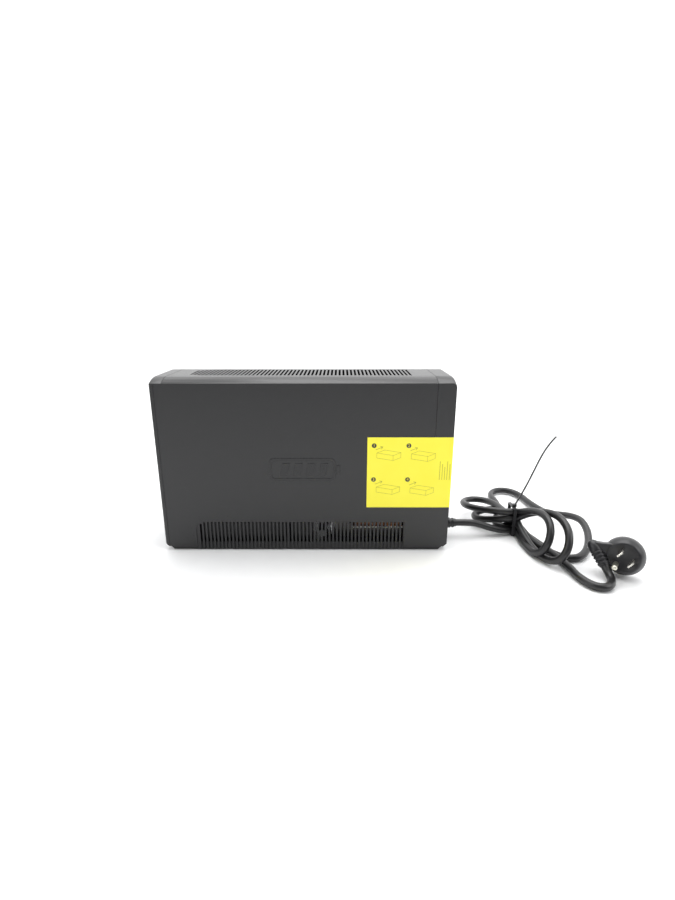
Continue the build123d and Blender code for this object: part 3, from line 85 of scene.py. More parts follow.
# white surroundings that darken smoothly from behind the object (+Y) to behind the camera (-Y)
BACKDROP_STRENGTH = 1.5
FADE = {"From Min": -0.75, "From Max": 0.25, "To Min": 0.2, "To Max": 1.0}
world = bpy.data.worlds.new("studio")
world.use_nodes = True
world_nodes, world_links = world.node_tree.nodes, world.node_tree.links
backdrop = world_nodes["Background"]
backdrop.inputs["Strength"].default_value = BACKDROP_STRENGTH
direction = world_nodes.new("ShaderNodeTexCoord")
split = world_nodes.new("ShaderNodeSeparateXYZ")
fade = world_nodes.new("ShaderNodeMapRange")
fade.interpolation_type = "SMOOTHSTEP"
for socket, value in FADE.items():
    fade.inputs[socket].default_value = value
world_links.new(direction.outputs["Generated"], split.inputs[0])
world_links.new(split.outputs["Y"], fade.inputs["Value"])
world_links.new(fade.outputs["Result"], backdrop.inputs["Color"])
scene.world = world


# ------------------------------------------------------------------ finishes
class Value:
    """A number on a socket. Arithmetic on it adds Math nodes to its finish."""

    def __init__(self, finish, socket):
        self.finish = finish
        self.socket = socket

    def sum(self, operation, first, second):
        return self.finish.node("ShaderNodeMath", {"operation": operation}, [first, second])

    def __add__(self, other):
        return self.sum("ADD", self, other)

    def __mul__(self, other):
        return self.sum("MULTIPLY", self, other)

    def __rsub__(self, other):
        return self.sum("SUBTRACT", other, self)


class Finish:
    """A material being made: one Principled shader and the nodes that feed it."""

    def __init__(self, name, **constants):
        self.material = bpy.data.materials.new(name)
        self.material.use_nodes = True
        self.tree = self.material.node_tree
        self.shader = self.tree.nodes["Principled BSDF"]
        for socket, value in constants.items():
            self.shader.inputs[socket.replace("_", " ")].default_value = value
        self.place = self.node("ShaderNodeTexCoord", {}, [], "Object")

    def node(self, kind, settings, inputs, output=0):
        """Adds a node: its settings first, then its inputs, by order or by name."""
        made = self.tree.nodes.new(kind)
        for key, value in settings.items():
            setattr(made, key, value)
        pairs = inputs.items() if isinstance(inputs, dict) else enumerate(inputs)
        for key, value in pairs:
            if isinstance(value, Value):
                self.tree.links.new(value.socket, made.inputs[key])
            else:
                made.inputs[key].default_value = value
        return Value(self, made.outputs[output])

    def feed(self, socket, value):
        """Links a value to a socket of the shader."""
        self.tree.links.new(value.socket, self.shader.inputs[socket])

    def noise(self, size, detail=2.0, rough=0.5, stretch=(1.0, 1.0, 1.0)):
        """Noise from 0 to 1 whose features are about size metres across."""
        spread = self.node("ShaderNodeMapping", {}, {"Vector": self.place, "Scale": stretch})
        inputs = {"Vector": spread, "Scale": 1.0 / size, "Detail": detail, "Roughness": rough}
        return self.node("ShaderNodeTexNoise", {}, inputs)

    def step(self, value, low, high):
        """0 below low, 1 above high, smooth between them."""
        settings = {"interpolation_type": "SMOOTHSTEP"}
        return self.node("ShaderNodeMapRange", settings, {0: value, 1: low, 2: high})

    def blend(self, mask, first, second):
        """Colour that goes from first to second with a mask."""
        inputs = {0: mask, 6: first, 7: second}
        return self.node("ShaderNodeMix", {"data_type": "RGBA"}, inputs, 2)

    def facing_up(self):
        """1 on faces that look up, 0 on the rest."""
        normal = self.node("ShaderNodeNewGeometry", {}, [], "Normal")
        height = self.node("ShaderNodeSeparateXYZ", {}, [normal], 2)
        return self.step(height, 0.5, 1.0)

    def axis(self, letter):
        """One coordinate of the place on the object, in metres."""
        return self.node("ShaderNodeSeparateXYZ", {}, [self.place], "XYZ".index(letter))

    def bump(self, height, depth):
        """Small relief, depth metres deep where height goes from 0 to 1."""
        inputs = {"Strength": 1.0, "Distance": depth, "Height": height}
        self.feed("Normal", self.node("ShaderNodeBump", {}, inputs))


# a wave texture's scale times the pitch of its bands: 2 pi / 20
BAND_SCALE = 0.314
HANDLING_GREY = (0.35, 0.35, 0.36, 1.0)
DUST_GREY = (0.3, 0.3, 0.31, 1.0)
MASK_GREEN = (0.012, 0.11, 0.04, 1.0)
TRACK_GREEN = (0.03, 0.2, 0.075, 1.0)
SOLDER = (0.6, 0.6, 0.55, 1.0)
SHEET_DARK = (0.09, 0.085, 0.08, 1.0)
SHEET_PALE = (0.2, 0.19, 0.18, 1.0)
RUST = (0.16, 0.07, 0.03, 1.0)
INK_THICK = (0.97, 0.87, 0.045, 1.0)
INK_THIN = (1.0, 0.93, 0.075, 1.0)
SMOKE_DARK = (0.03, 0.034, 0.04, 1.0)
SMOKE_PALE = (0.05, 0.055, 0.065, 1.0)
PAPER_DARK = (0.86, 0.865, 0.87, 1.0)
PAPER_PALE = (0.9, 0.905, 0.91, 1.0)


def shade(colour, factor):
    """A colour made lighter or darker by a factor."""
    return tuple(min(1.0, c * factor) for c in colour[:3]) + (1.0,)


def moulded(name, colour, rough, grain=0.0008, depth=0.00006, dust=0.25, gloss=0.5):
    """Injection-moulded plastic: spark-eroded texture, faint handling marks, dust on top."""
    finish = Finish(name, IOR=1.5, Specular_IOR_Level=gloss)
    cloud = finish.noise(0.09, 3.0)
    speck = finish.noise(grain, 2.0)
    marks = finish.step(finish.noise(0.03, 5.0, 0.7, (1.0, 1.0, 2.5)), 0.62, 0.8)
    lint = finish.step(finish.noise(0.0022, 1.0), 0.72, 0.78) * finish.facing_up()
    base = finish.blend(cloud, shade(colour, 0.82), shade(colour, 1.2))
    base = finish.blend(speck * 0.35, base, shade(colour, 1.8))
    base = finish.blend(marks * 0.02 + lint * dust * 0.3, base, HANDLING_GREY)
    finish.feed("Base Color", base)
    finish.feed("Roughness", speck * 0.16 + marks * 0.08 + cloud * 0.08 + (rough - 0.16))
    finish.bump(speck, depth)
    return finish.material


def polished(name, colour, rough=0.14):
    """Glossy plastic with faint haze and hairline scuffs."""
    finish = Finish(name, IOR=1.5)
    haze = finish.noise(0.012, 4.0, 0.6)
    scuff = finish.step(finish.noise(0.004, 3.0, 0.7, (1.0, 6.0, 1.0)), 0.66, 0.74)
    finish.feed("Base Color", finish.blend(haze, shade(colour, 0.85), shade(colour, 1.25)))
    finish.feed("Roughness", haze * 0.1 + scuff * 0.16 + rough)
    finish.bump(haze, 0.00004)
    return finish.material


def metal(name, colour, rough, brush=(1.0, 1.0, 1.0), grain=0.0006, tarnish=0.3):
    """Bare or plated metal with a brushed or rolled grain and some tarnish."""
    finish = Finish(name, Metallic=1.0)
    lines = finish.noise(grain, 3.0, 0.6, brush)
    stain = finish.step(finish.noise(0.01, 4.0, 0.6), 0.45, 0.75)
    base = finish.blend(lines, shade(colour, 0.78), shade(colour, 1.15))
    finish.feed("Base Color", finish.blend(stain * tarnish, base, shade(colour, 0.55)))
    finish.feed("Roughness", lines * 0.2 + stain * 0.15 + rough)
    finish.bump(lines, 0.00005)
    return finish.material


def sheathed(name, colour, rough=0.42):
    """Soft vinyl cord sheath: satin, with extrusion lines, scuffs and pale dust."""
    finish = Finish(name, IOR=1.5)
    ripple = finish.noise(0.004, 3.0, 0.6)
    speck = finish.noise(0.0006, 2.0)
    dust = finish.step(finish.noise(0.012, 5.0, 0.7), 0.5, 0.75) * finish.facing_up()
    base = finish.blend(ripple, shade(colour, 0.8), shade(colour, 1.35))
    finish.feed("Base Color", finish.blend(dust * 0.05, base, DUST_GREY))
    finish.feed("Roughness", ripple * 0.12 + speck * 0.1 + dust * 0.1 + (rough - 0.08))
    finish.bump(ripple * 0.7 + speck * 0.3, 0.00012)
    return finish.material


def circuit_board(name):
    """Green solder mask with a pattern of copper tracks and pads under it."""
    finish = Finish(name, IOR=1.5)
    cell = {"Vector": finish.place, "Scale": 260.0}
    tracks = finish.node("ShaderNodeTexBrick", {}, {**cell, "Mortar Size": 0.03}, "Fac")
    pads = finish.node("ShaderNodeTexVoronoi", {}, {**cell, "Scale": 420.0})
    pad = 1 - finish.step(pads, 0.16, 0.2)
    green = finish.blend(tracks, MASK_GREEN, TRACK_GREEN)
    finish.feed("Base Color", finish.blend(pad * 0.6, green, SOLDER))
    finish.feed("Roughness", pad * 0.15 + finish.noise(0.004) * 0.1 + 0.25)
    finish.bump(tracks * -1.0 + pad, 0.0001)
    return finish.material


def wound_wire(name, colour, pitch=0.0011):
    """Layer of enamelled copper wire, wound level, with painted shade in the grooves between turns.
    """
    finish = Finish(name, Metallic=0.85, Coat_Weight=0.6, Coat_Roughness=0.15)
    wave = finish.node(
        "ShaderNodeTexWave",
        {"bands_direction": "Z", "wave_profile": "SIN"},
        {"Vector": finish.place, "Scale": BAND_SCALE / pitch, "Distortion": 0.6, "Detail": 1.0},
    )
    tint = finish.noise(0.01, 3.0)
    base = finish.blend(tint, shade(colour, 0.75), shade(colour, 1.3))
    # the dark edge of every band is painted shade in the groove between two turns of wire
    finish.feed("Base Color", finish.blend(wave, shade(colour, 0.35), base))
    finish.feed("Roughness", tint * 0.15 + 0.24)
    finish.bump(wave, 0.0003)
    return finish.material


def laminated_core(name, sheet=0.0005):
    """Varnished edges of stacked steel sheets."""
    finish = Finish(name, Metallic=0.7, Coat_Weight=0.3)
    sheets = finish.node(
        "ShaderNodeTexWave",
        {"bands_direction": "Y", "wave_profile": "TRI"},
        {"Vector": finish.place, "Scale": BAND_SCALE / sheet, "Distortion": 0.3},
    )
    rust = finish.step(finish.noise(0.008, 5.0, 0.7), 0.55, 0.75)
    base = finish.blend(sheets, SHEET_DARK, SHEET_PALE)
    finish.feed("Base Color", finish.blend(rust * 0.5, base, RUST))
    finish.feed("Roughness", rust * 0.3 + 0.35)
    finish.bump(sheets, 0.0002)
    return finish.material


def label_film():
    """Glossy printed film: strong yellow, a little uneven, with faint ripples."""
    finish = Finish("label_film", IOR=1.45)
    ink = finish.noise(0.03, 3.0)
    orange_peel = finish.noise(0.0012, 2.0)
    finish.feed("Base Color", finish.blend(ink, INK_THICK, INK_THIN))
    finish.feed("Roughness", orange_peel * 0.12 + 0.3)
    finish.bump(orange_peel * 0.6 + ink * 0.4, 0.00006)
    return finish.material


def woven_tape(name, colour):
    """Woven polyester ribbon."""
    finish = Finish(name, IOR=1.45, Sheen_Weight=0.3)
    weft, warp = (
        finish.node(
            "ShaderNodeTexWave",
            {"bands_direction": direction},
            {"Vector": finish.place, "Scale": scale},
        )
        for direction, scale in (("Z", 320.0), ("Y", 420.0))
    )
    weave = weft * 0.5 + warp * 0.5
    finish.feed("Base Color", finish.blend(weave, shade(colour, 0.5), shade(colour, 1.2)))
    finish.feed("Roughness", weave * 0.2 + 0.65)
    finish.bump(weave, 0.0003)
    return finish.material


def smoked_pane():
    """Dark see-through window over the display."""
    finish = Finish("display_pane", IOR=1.49, Transmission_Weight=0.55)
    haze = finish.noise(0.01, 3.0)
    finish.feed("Base Color", finish.blend(haze, SMOKE_DARK, SMOKE_PALE))
    finish.feed("Roughness", haze * 0.05 + 0.05)
    return finish.material


def shrink_sleeve(name, ground):
    """Smooth shrink sleeve, a touch duller on its far half."""
    finish = Finish(name, IOR=1.5)
    haze = finish.noise(0.006, 3.0)
    far_half = finish.step(finish.axis("Y"), 0.0, 0.0004)
    finish.feed("Base Color", finish.blend(haze, shade(ground, 0.8), shade(ground, 1.3)))
    finish.feed("Roughness", haze * 0.1 + far_half * 0.02 + 0.25)
    finish.bump(haze, 0.00005)
    return finish.material


CASE_BLACK = moulded("case_black", (0.012, 0.012, 0.013), 0.36)
BEZEL_BLACK = moulded("bezel_black", (0.011, 0.011, 0.012), 0.36)
RELIEF_BLACK = moulded("relief_black", (0.006, 0.006, 0.007), 0.3, grain=0.0015, depth=0.00002)
INK = {"grain": 0.001, "depth": 0.00001, "dust": 0.0}
PRINT_BLACK = moulded("print_black", (0.02, 0.02, 0.02), 0.5, **INK)
PRINT_OLIVE = moulded("print_olive", (0.33, 0.30, 0.02), 0.5, **INK)
PRINT_WHITE = moulded("print_white", (0.62, 0.62, 0.6), 0.5, **INK)
LABEL_YELLOW = label_film()
CORD_SHEATH = sheathed("cord_sheath", (0.009, 0.009, 0.010), 0.3)
PLUG_RUBBER = sheathed("plug_rubber", (0.008, 0.008, 0.010), 0.32)
NYLON_BLACK = polished("nylon_black", (0.022, 0.022, 0.024), 0.28)
BLADE_NICKEL = metal("blade_nickel", (0.8, 0.78, 0.72), 0.12, (1.0, 8.0, 1.0), tarnish=0.15)
PIN_ZINC = metal("pin_zinc", (0.72, 0.7, 0.6), 0.2, (8.0, 1.0, 1.0), tarnish=0.25)

FINISHES = {
    "case_black": CASE_BLACK,
    "bezel_black": BEZEL_BLACK,
    "gloss_black": polished("gloss_black", (0.014, 0.014, 0.015)),
    "display_pane": smoked_pane(),
    "display_glass": polished("display_glass", (0.2, 0.24, 0.2), 0.3),
    "board_green": circuit_board("board_green"),
    "switch_black": moulded("switch_black", (0.03, 0.03, 0.03), 0.45),
    "socket_black": moulded("socket_black", (0.022, 0.022, 0.023), 0.42, depth=0.00003),
    "bus_brass": metal("bus_brass", (0.75, 0.55, 0.22), 0.2, (1.0, 1.0, 6.0)),
    "battery_grey": moulded("battery_grey", (0.09, 0.095, 0.1), 0.5, grain=0.0012),
    "terminal_tin": metal("terminal_tin", (0.75, 0.75, 0.76), 0.22, (6.0, 1.0, 1.0)),
    "pull_fabric": woven_tape("pull_fabric", (0.6, 0.59, 0.55)),
    "wire_black": sheathed("wire_black", (0.02, 0.02, 0.02)),
    "wire_red": sheathed("wire_red", (0.42, 0.02, 0.02)),
    "core_steel": laminated_core("core_steel"),
    "bobbin_white": moulded("bobbin_white", (0.7, 0.67, 0.6), 0.45, dust=0.1),
    "winding_copper": wound_wire("winding_copper", (0.62, 0.24, 0.09)),
    "strap_zinc": metal("strap_zinc", (0.62, 0.63, 0.64), 0.28, (1.0, 5.0, 1.0)),
    "screw_steel": metal("screw_steel", (0.5, 0.5, 0.52), 0.25),
    "sink_aluminium": metal("sink_aluminium", (0.8, 0.81, 0.83), 0.3, (1.0, 8.0, 8.0), tarnish=0.1),
    "transistor_black": moulded("transistor_black", (0.02, 0.02, 0.02), 0.4),
    "capacitor_sleeve": shrink_sleeve("capacitor_sleeve", (0.02, 0.035, 0.12)),
    "relay_blue": polished("relay_blue", (0.02, 0.12, 0.42), 0.22),
    "choke_copper": wound_wire("choke_copper", (0.68, 0.28, 0.1), 0.0014),
    "ribbon_grey": moulded("ribbon_grey", (0.35, 0.35, 0.37), 0.5),
    "label_yellow": LABEL_YELLOW,
    "cord_black": CORD_SHEATH,
    "tie_black": NYLON_BLACK,
    "plug_black": PLUG_RUBBER,
    "blade_nickel": BLADE_NICKEL,
    "ground_zinc": PIN_ZINC,
}

for part in frame["record"]["subparts"]:
    mesh = nodes[part["node"]].data
    mesh.materials.clear()
    mesh.materials.append(FINISHES[part["material_slot"]])

# ------------------------------------------------------------------ floor
FLOOR_HALF = 6.0
FLOOR_DROP = 0.0002
floor_finish = Finish("pale_floor", IOR=1.4)
paper = floor_finish.noise(0.02, 4.0)
floor_finish.feed("Base Color", floor_finish.blend(paper, PAPER_DARK, PAPER_PALE))
floor_finish.feed("Roughness", paper * 0.1 + 0.5)
sheet = bmesh.new()
bmesh.ops.create_grid(sheet, x_segments=1, y_segments=1, size=FLOOR_HALF)
bmesh.ops.translate(sheet, verts=sheet.verts, vec=(0.0, 0.0, -FLOOR_DROP))
floor_mesh = bpy.data.meshes.new("floor")
sheet.to_mesh(floor_mesh)
floor_mesh.materials.append(floor_finish.material)
floor = bpy.data.objects.new("floor", floor_mesh)
scene.collection.objects.link(floor)


# ------------------------------------------------------------------ helpers for new pieces
def piece(name, mesh, material, body="case", smooth=False):
    """Puts a finished mesh in the scene as a piece that rides a body."""
    mesh.materials.clear()
    mesh.materials.append(material)
    if smooth:
        mesh.shade_smooth()
    made = bpy.data.objects.new(name, mesh)
    scene.collection.objects.link(made)
    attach(made, body)
    return made


def from_bmesh(name, shape, merge=True):
    """A mesh from a finished shape, its touching corners merged unless it is flat print."""
    if merge:
        bmesh.ops.remove_doubles(shape, verts=shape.verts, dist=MERGE_DISTANCE)
        bmesh.ops.recalc_face_normals(shape, faces=shape.faces)
    mesh = bpy.data.meshes.new(name)
    shape.to_mesh(mesh)
    shape.free()
    return mesh


def push_out(shape, faces, vec):
    """Extrudes flat faces of a shape along a vector."""
    pushed = bmesh.ops.extrude_face_region(shape, geom=faces)
    moved = [v for v in pushed["geom"] if isinstance(v, bmesh.types.BMVert)]
    bmesh.ops.translate(shape, verts=moved, vec=vec)


SHARP_ANGLE = radians(30.0)


def soften(made, width, segments=2):
    """Rounds a piece's sharp edges a little."""
    bevel = made.modifiers.new("edge_round", "BEVEL")
    bevel.width = width
    bevel.segments = segments
    bevel.limit_method = "ANGLE"
    bevel.angle_limit = SHARP_ANGLE
    bevel.harden_normals = True


# ------------------------------------------------------------------ cord
CORD_DIAMETER = 0.008
LEAD = [
    (160.0, -10.0, 17.0),
    (172.0, -10.0, 17.0),
    (184.0, -10.0, 17.0),
    (197.0, -9.4, 15.8),
    (210.0, -9.4, 11.2),
    (222.0, -10.0, 8.0),
]
# where the cord goes through the tie, pass by pass: across it and above the floor
TIE_PASSES = [(-6.0, 5.8), (-5.5, 28.6), (3.5, 21.0), (-6.0, 20.6), (3.5, 13.4), (3.5, 5.8)]
TIE_X = 240.0
TIE_HALF = 5.0
# each loop: the reach of its tip from the tie, and half of its opening
LOOPS = [
    ((10.0, -66.5, 7.6), (6.9, 5.3, 16.1)),
    ((-33.3, 60.6, -8.0), (16.2, 11.2, -0.4)),
    ((22.8, -87.4, 4.3), (8.6, 10.2, 22.0)),
    ((-22.2, 41.9, -8.6), (14.0, 6.5, 3.6)),
    ((48.4, -61.6, -4.4), (16.8, 33.4, 11.9)),
]
LAST_LOOP_END = (276.0, 18.0, 12.0)
BACK_LOOP = [
    (299.0, 36.0, 8.0),
    (294.0, 60.0, 6.0),
    (291.0, 82.0, 5.0),
    (289.0, 104.0, 5.0),
    (281.0, 121.0, 5.0),
    (266.0, 126.0, 5.0),
    (252.0, 117.0, 5.0),
    (246.0, 99.0, 5.0),
    (248.0, 78.0, 5.0),
    (243.0, 52.0, 5.0),
    (230.0, 26.0, 5.0),
    (226.0, 9.0, 5.0),
]
TAIL = [
    (254.0, -20.0, 4.6),
    (263.0, -50.0, 4.2),
    (269.0, -75.0, 4.2),
    (271.0, -92.0, 4.2),
    (271.0, -102.5, 4.2),
    (273.5, -113.5, 4.2),
    (279.5, -124.5, 4.2),
    (290.5, -126.5, 4.2),
    (299.0, -117.5, 4.2),
    (302.18, -107.37, 5.67),
    (299.8, -100.0, 12.0),
]
LOOP_POINTS = 12
LAST_LOOP_POINTS = 9
LOOP_SWELL = 1.3
FLOOR_LINE = 4.0


def cord_loop(start, end, reach, half, last=LOOP_POINTS):
    """Points round one loop that leaves the tie at start and comes back to it at end."""
    start, end, reach, half = Vector(start), Vector(end), Vector(reach), Vector(half)
    points = []
    for i in range(1, last):
        turn = 2 * pi * i / LOOP_POINTS
        middle = start.lerp(end, i / LOOP_POINTS)
        swell = LOOP_SWELL * sin(turn) * sin(turn / 2)
        point = middle + reach * sin(turn / 2) ** 2 - half * swell
        point.z = max(point.z, FLOOR_LINE)
        points.append(tuple(point))
    return points


def at_tie(index, shift):
    """Point of one pass, shifted along the cord from the tie's middle."""
    across, height = TIE_PASSES[index]
    return (TIE_X + shift, across, height)


cord_points = list(LEAD)
for i, (reach, half) in enumerate(LOOPS):
    side = TIE_HALF if i % 2 == 0 else -TIE_HALF
    cord_points += [at_tie(i, -side), at_tie(i, side)]
    if i < len(LOOPS) - 1:
        cord_points += cord_loop(at_tie(i, side), at_tie(i + 1, side), reach, half)
    else:
        cord_points += cord_loop(at_tie(i, side), LAST_LOOP_END, reach, half, LAST_LOOP_POINTS)
cord_points += BACK_LOOP
cord_points += [at_tie(5, -TIE_HALF), at_tie(5, TIE_HALF)]
cord_points += TAIL


def smooth_line(name, points, radius):
    """Round cord along one smooth line that starts and ends at its outer points."""
    curve = bpy.data.curves.new(name, "CURVE")
    curve.dimensions = "3D"
    curve.bevel_depth = radius
    curve.bevel_resolution = 5
    curve.resolution_u = 6
    curve.use_fill_caps = True
    spline = curve.splines.new("NURBS")
    spline.points.add(len(points) - 1)
    for target, point in zip(spline.points, points):
        target.co = tuple(v * MM for v in point) + (1.0,)
    spline.order_u = 3
    spline.use_endpoint_u = True
    return curve


cord_curve = smooth_line("mains_cord", cord_points, CORD_DIAMETER / 2)
cord_curve.materials.append(CORD_SHEATH)
mains_cord = bpy.data.objects.new("mains_cord", cord_curve)
scene.collection.objects.link(mains_cord)
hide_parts("cord_lead", "cord_hank", "cord_tail")
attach(mains_cord, "case")

# ------------------------------------------------------------------ the label's print
SIDE_Y = -45.5
LABEL_THICK = 0.15
PRINT_LIFT = 0.03
PRINT_Y = SIDE_Y - LABEL_THICK - PRINT_LIFT
FINE_LINE = 0.3
ARROW_LINE = 0.45
TEXT_LINE = 0.5
print_plane = Matrix.Translation((0.0, PRINT_Y * MM, 0.0)) @ Matrix.Rotation(radians(90), 4, "X")


def stroke(shape, a, b, width, plane=print_plane):
    """Thin flat bar between two points of a plane."""
    a, b = Vector(a) * MM, Vector(b) * MM
    along = b - a
    turn = along.to_2d().angle_signed(Vector((1, 0)))
    place = Matrix.Translation(((a + b) / 2).to_3d()) @ Matrix.Rotation(turn, 4, "Z")
    size = Matrix.Diagonal((along.length + width * MM, width * MM, 1.0, 1.0))
    matrix = plane @ place @ size
    bmesh.ops.create_grid(shape, x_segments=1, y_segments=1, size=0.5, matrix=matrix)


def outline(shape, points, width, plane=print_plane):
    """Closed line of bars round some points."""
    for a, b in zip(points, points[1:] + points[:1]):
        stroke(shape, a, b, width, plane)


def carton_drawing(shape, x, z, wide, deep, high):
    """Line drawing of a box seen from above one corner."""
    fall = deep * 0.35
    front = [(x, z), (x + wide, z - fall), (x + wide, z - fall + high), (x, z + high)]
    back = (x + deep, z + high + deep * 0.4)
    far = (back[0] + wide, back[1] - fall)
    foot = (back[0] + wide, back[1] - fall - high)
    outline(shape, front, FINE_LINE)
    for a, b in ((front[3], back), (back, far), (front[2], far), (foot, far), (front[1], foot)):
        stroke(shape, a, b, FINE_LINE)


CARTON_PLACES = ((76.0, 107.0), (112.0, 106.0), (76.0, 69.0), (112.0, 68.0))
CARTON_SIZE = (17.0, 8.0, 5.5)
# an arrow over each carton: its tail, its tip and the ends of its two barbs
ARROW_TAIL, ARROW_TIP, ARROW_BARBS = (-1, 9), (6, 12), ((3.5, 12.6), (4.6, 9.8))
TEXT_COLUMNS = 5
TEXT_X, TEXT_FOOT, TEXT_TOP = 142.5, 83.0, 103.0
TEXT_PITCH = 2.6
drawings = bmesh.new()
for x, z in CARTON_PLACES:
    carton_drawing(drawings, x, z, *CARTON_SIZE)
    tip = (x + ARROW_TIP[0], z + ARROW_TIP[1])
    stroke(drawings, (x + ARROW_TAIL[0], z + ARROW_TAIL[1]), tip, ARROW_LINE)
    for dx, dz in ARROW_BARBS:
        stroke(drawings, tip, (x + dx, z + dz), ARROW_LINE)
for i in range(TEXT_COLUMNS):
    x = TEXT_X + TEXT_PITCH * i
    stroke(drawings, (x, TEXT_FOOT), (x, TEXT_TOP - (i % 3) * 3.0), TEXT_LINE)
piece("label_drawings", from_bmesh("label_drawings", drawings, False), PRINT_OLIVE)

STEP_PLACES = [(73.0, 120.4), (109.0, 120.3), (73.0, 83.1), (109.0, 83.1)]
DOT_RADIUS = 2.5
NUMERAL_HEIGHT = 4.2
dots = bmesh.new()
for x, z in STEP_PLACES:
    spot = print_plane @ Matrix.Translation((x * MM, z * MM, 0.0))
    bmesh.ops.create_circle(dots, cap_ends=True, segments=28, radius=DOT_RADIUS * MM, matrix=spot)
piece("label_dots", from_bmesh("label_dots", dots, False), PRINT_BLACK)


def numeral(text, x, z, height):
    """Flat numeral as a mesh, standing on the label's plane."""
    font = bpy.data.curves.new("numeral", "FONT")
    font.body = text
    font.size = height * MM
    font.align_x = "CENTER"
    font.align_y = "CENTER"
    holder = bpy.data.objects.new("numeral", font)
    scene.collection.objects.link(holder)
    ready = holder.evaluated_get(bpy.context.evaluated_depsgraph_get())
    mesh = bpy.data.meshes.new_from_object(ready)
    bpy.data.objects.remove(holder)
    mesh.transform(print_plane @ Matrix.Translation((x * MM, z * MM, 0.02 * MM)))
    return mesh


for i, (x, z) in enumerate(STEP_PLACES):
    name = f"label_numeral_{i + 1}"
    piece(name, numeral(str(i + 1), x, z, NUMERAL_HEIGHT), LABEL_YELLOW)

# ------------------------------------------------------------------ raised pictogram on the side
RELIEF_RISE = 0.45
RELIEF_EDGE = 0.12
relief = bmesh.new()
relief_plane = Matrix.Translation((0.0, SIDE_Y * MM, 0.0)) @ Matrix.Rotation(radians(90), 4, "X")


def rounded_outline(x0, x1, z0, z1, corner, steps=6):
    """Corner points of a rectangle with rounded corners, counted round once."""
    points = []
    left, right = x0 + corner, x1 - corner
    low, high = z0 + corner, z1 - corner
    for quarter, (cx, cz) in enumerate([(right, high), (left, high), (left, low), (right, low)]):
        for i in range(steps + 1):
            turn = pi / 2 * (quarter + i / steps)
            points.append((cx + corner * cos(turn), cz + corner * sin(turn)))
    return points


def flat_verts(points):
    """Corners on the side's plane, given across and up in millimetres."""
    places = [relief_plane @ Vector((px * MM, pz * MM, 0.0)) for px, pz in points]
    return [relief.verts.new(place) for place in places]


outer = flat_verts(rounded_outline(-37.0, 33.0, 81.5, 106.5, 5.0))
inner = flat_verts(rounded_outline(-34.2, 30.2, 84.3, 103.7, 3.0))
for i in range(len(outer)):
    following = (i + 1) % len(outer)
    relief.faces.new([outer[i], outer[following], inner[following], inner[i]])
for x in (-26.0, -12.5, 1.0, 14.5):
    outline_points = [(x, 87.0), (x + 8.0, 87.0), (x + 11.0, 101.0), (x + 3.0, 101.0)]
    relief.faces.new(flat_verts(outline_points))
nub = [(34.0, 89.0), (38.0, 89.0), (38.0, 99.0), (34.0, 99.0)]
relief.faces.new(flat_verts(nub))
push_out(relief, relief.faces[:], (0.0, -RELIEF_RISE * MM, 0.0))
relief_mesh = from_bmesh("side_pictogram", relief)
pictogram = piece("side_pictogram", relief_mesh, RELIEF_BLACK)
soften(pictogram, RELIEF_EDGE * MM)

# ------------------------------------------------------------------ plug
PLUG_FACE = Vector((314.4, -103.9, 22.9))
PLUG_YAW = radians(34.0)
PLUG_TILT = radians(12.0)
PLUG_ARM = 28.0
PLUG_ARM_LIFT = 4.5
ARM_BACK = -10.6
ARM_DEPTH = 9.7
ARM_EDGE = 1.6
KNUCKLE_HEIGHT = -5.0
RIBS = 4
FIRST_RIB = 7.6
RIB_PITCH = 3.6
RIB_RISE = 0.9
SLEEVE_EDGE = 0.25
RELIEF_END = Vector(TAIL[-1])
level = cos(PLUG_TILT)
plug_axis = Vector((-sin(PLUG_YAW) * level, -cos(PLUG_YAW) * level, sin(PLUG_TILT)))
plug_side = Vector((cos(PLUG_YAW), -sin(PLUG_YAW), 0.0))
plug_up = plug_axis.cross(plug_side)
plug_turn = Matrix((plug_side, plug_up, plug_axis)).transposed().to_4x4()
plug_frame = Matrix.Translation(PLUG_FACE * MM) @ plug_turn


def turned(shape, profile, steps=48):
    """Turns a profile of radius and height, in millimetres, about the local Z axis."""
    ring_verts = [shape.verts.new((r * MM, 0.0, h * MM)) for r, h in profile]
    edges = [shape.edges.new(pair) for pair in zip(ring_verts, ring_verts[1:])]
    bmesh.ops.spin(
        shape,
        geom=ring_verts + edges,
        cent=(0, 0, 0),
        axis=(0, 0, 1),
        dvec=(0, 0, 0),
        angle=2 * pi,
        steps=steps,
        use_merge=True,
    )


def plug_piece(name, shape):
    """Smooth rubber piece of the plug."""
    return piece(name, from_bmesh(name, shape), PLUG_RUBBER, smooth=True)


# radius and height of the round body, from the middle of its face to the middle of its back
PLUG_PROFILE = [
    (0.0, -0.5),
    (12.0, -0.5),
    (12.5, -0.1),
    (14.0, 0.0),
    (14.9, -0.5),
    (15.7, -1.6),
    (17.6, -4.8),
    (18.8, -8.2),
    (18.9, -12.0),
    (18.6, -16.4),
    (17.0, -18.4),
    (13.4, -19.0),
    (0.0, -19.0),
]
plug_shape = bmesh.new()
turned(plug_shape, PLUG_PROFILE)
plug_shape.transform(plug_frame)
plug_shell = plug_piece("plug_shell", plug_shape)
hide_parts("plug_body")

ARM_OUTLINE = [
    (0.0, 12.8),
    (-12.0, 11.0),
    (-20.0, 9.6),
    (-27.0, 9.2),
    (-31.0, 7.8),
    (-33.2, 4.0),
    (-31.0, 0.2),
    (-27.0, -1.2),
    (-20.0, -3.8),
    (-12.0, -7.8),
    (0.0, -12.8),
]
arm = bmesh.new()
face = arm.faces.new([arm.verts.new((x * MM, y * MM, ARM_BACK * MM)) for x, y in ARM_OUTLINE])
push_out(arm, [face], (0.0, 0.0, ARM_DEPTH * MM))
arm.transform(plug_frame)
soften(plug_piece("plug_arm", arm), ARM_EDGE * MM, 4)

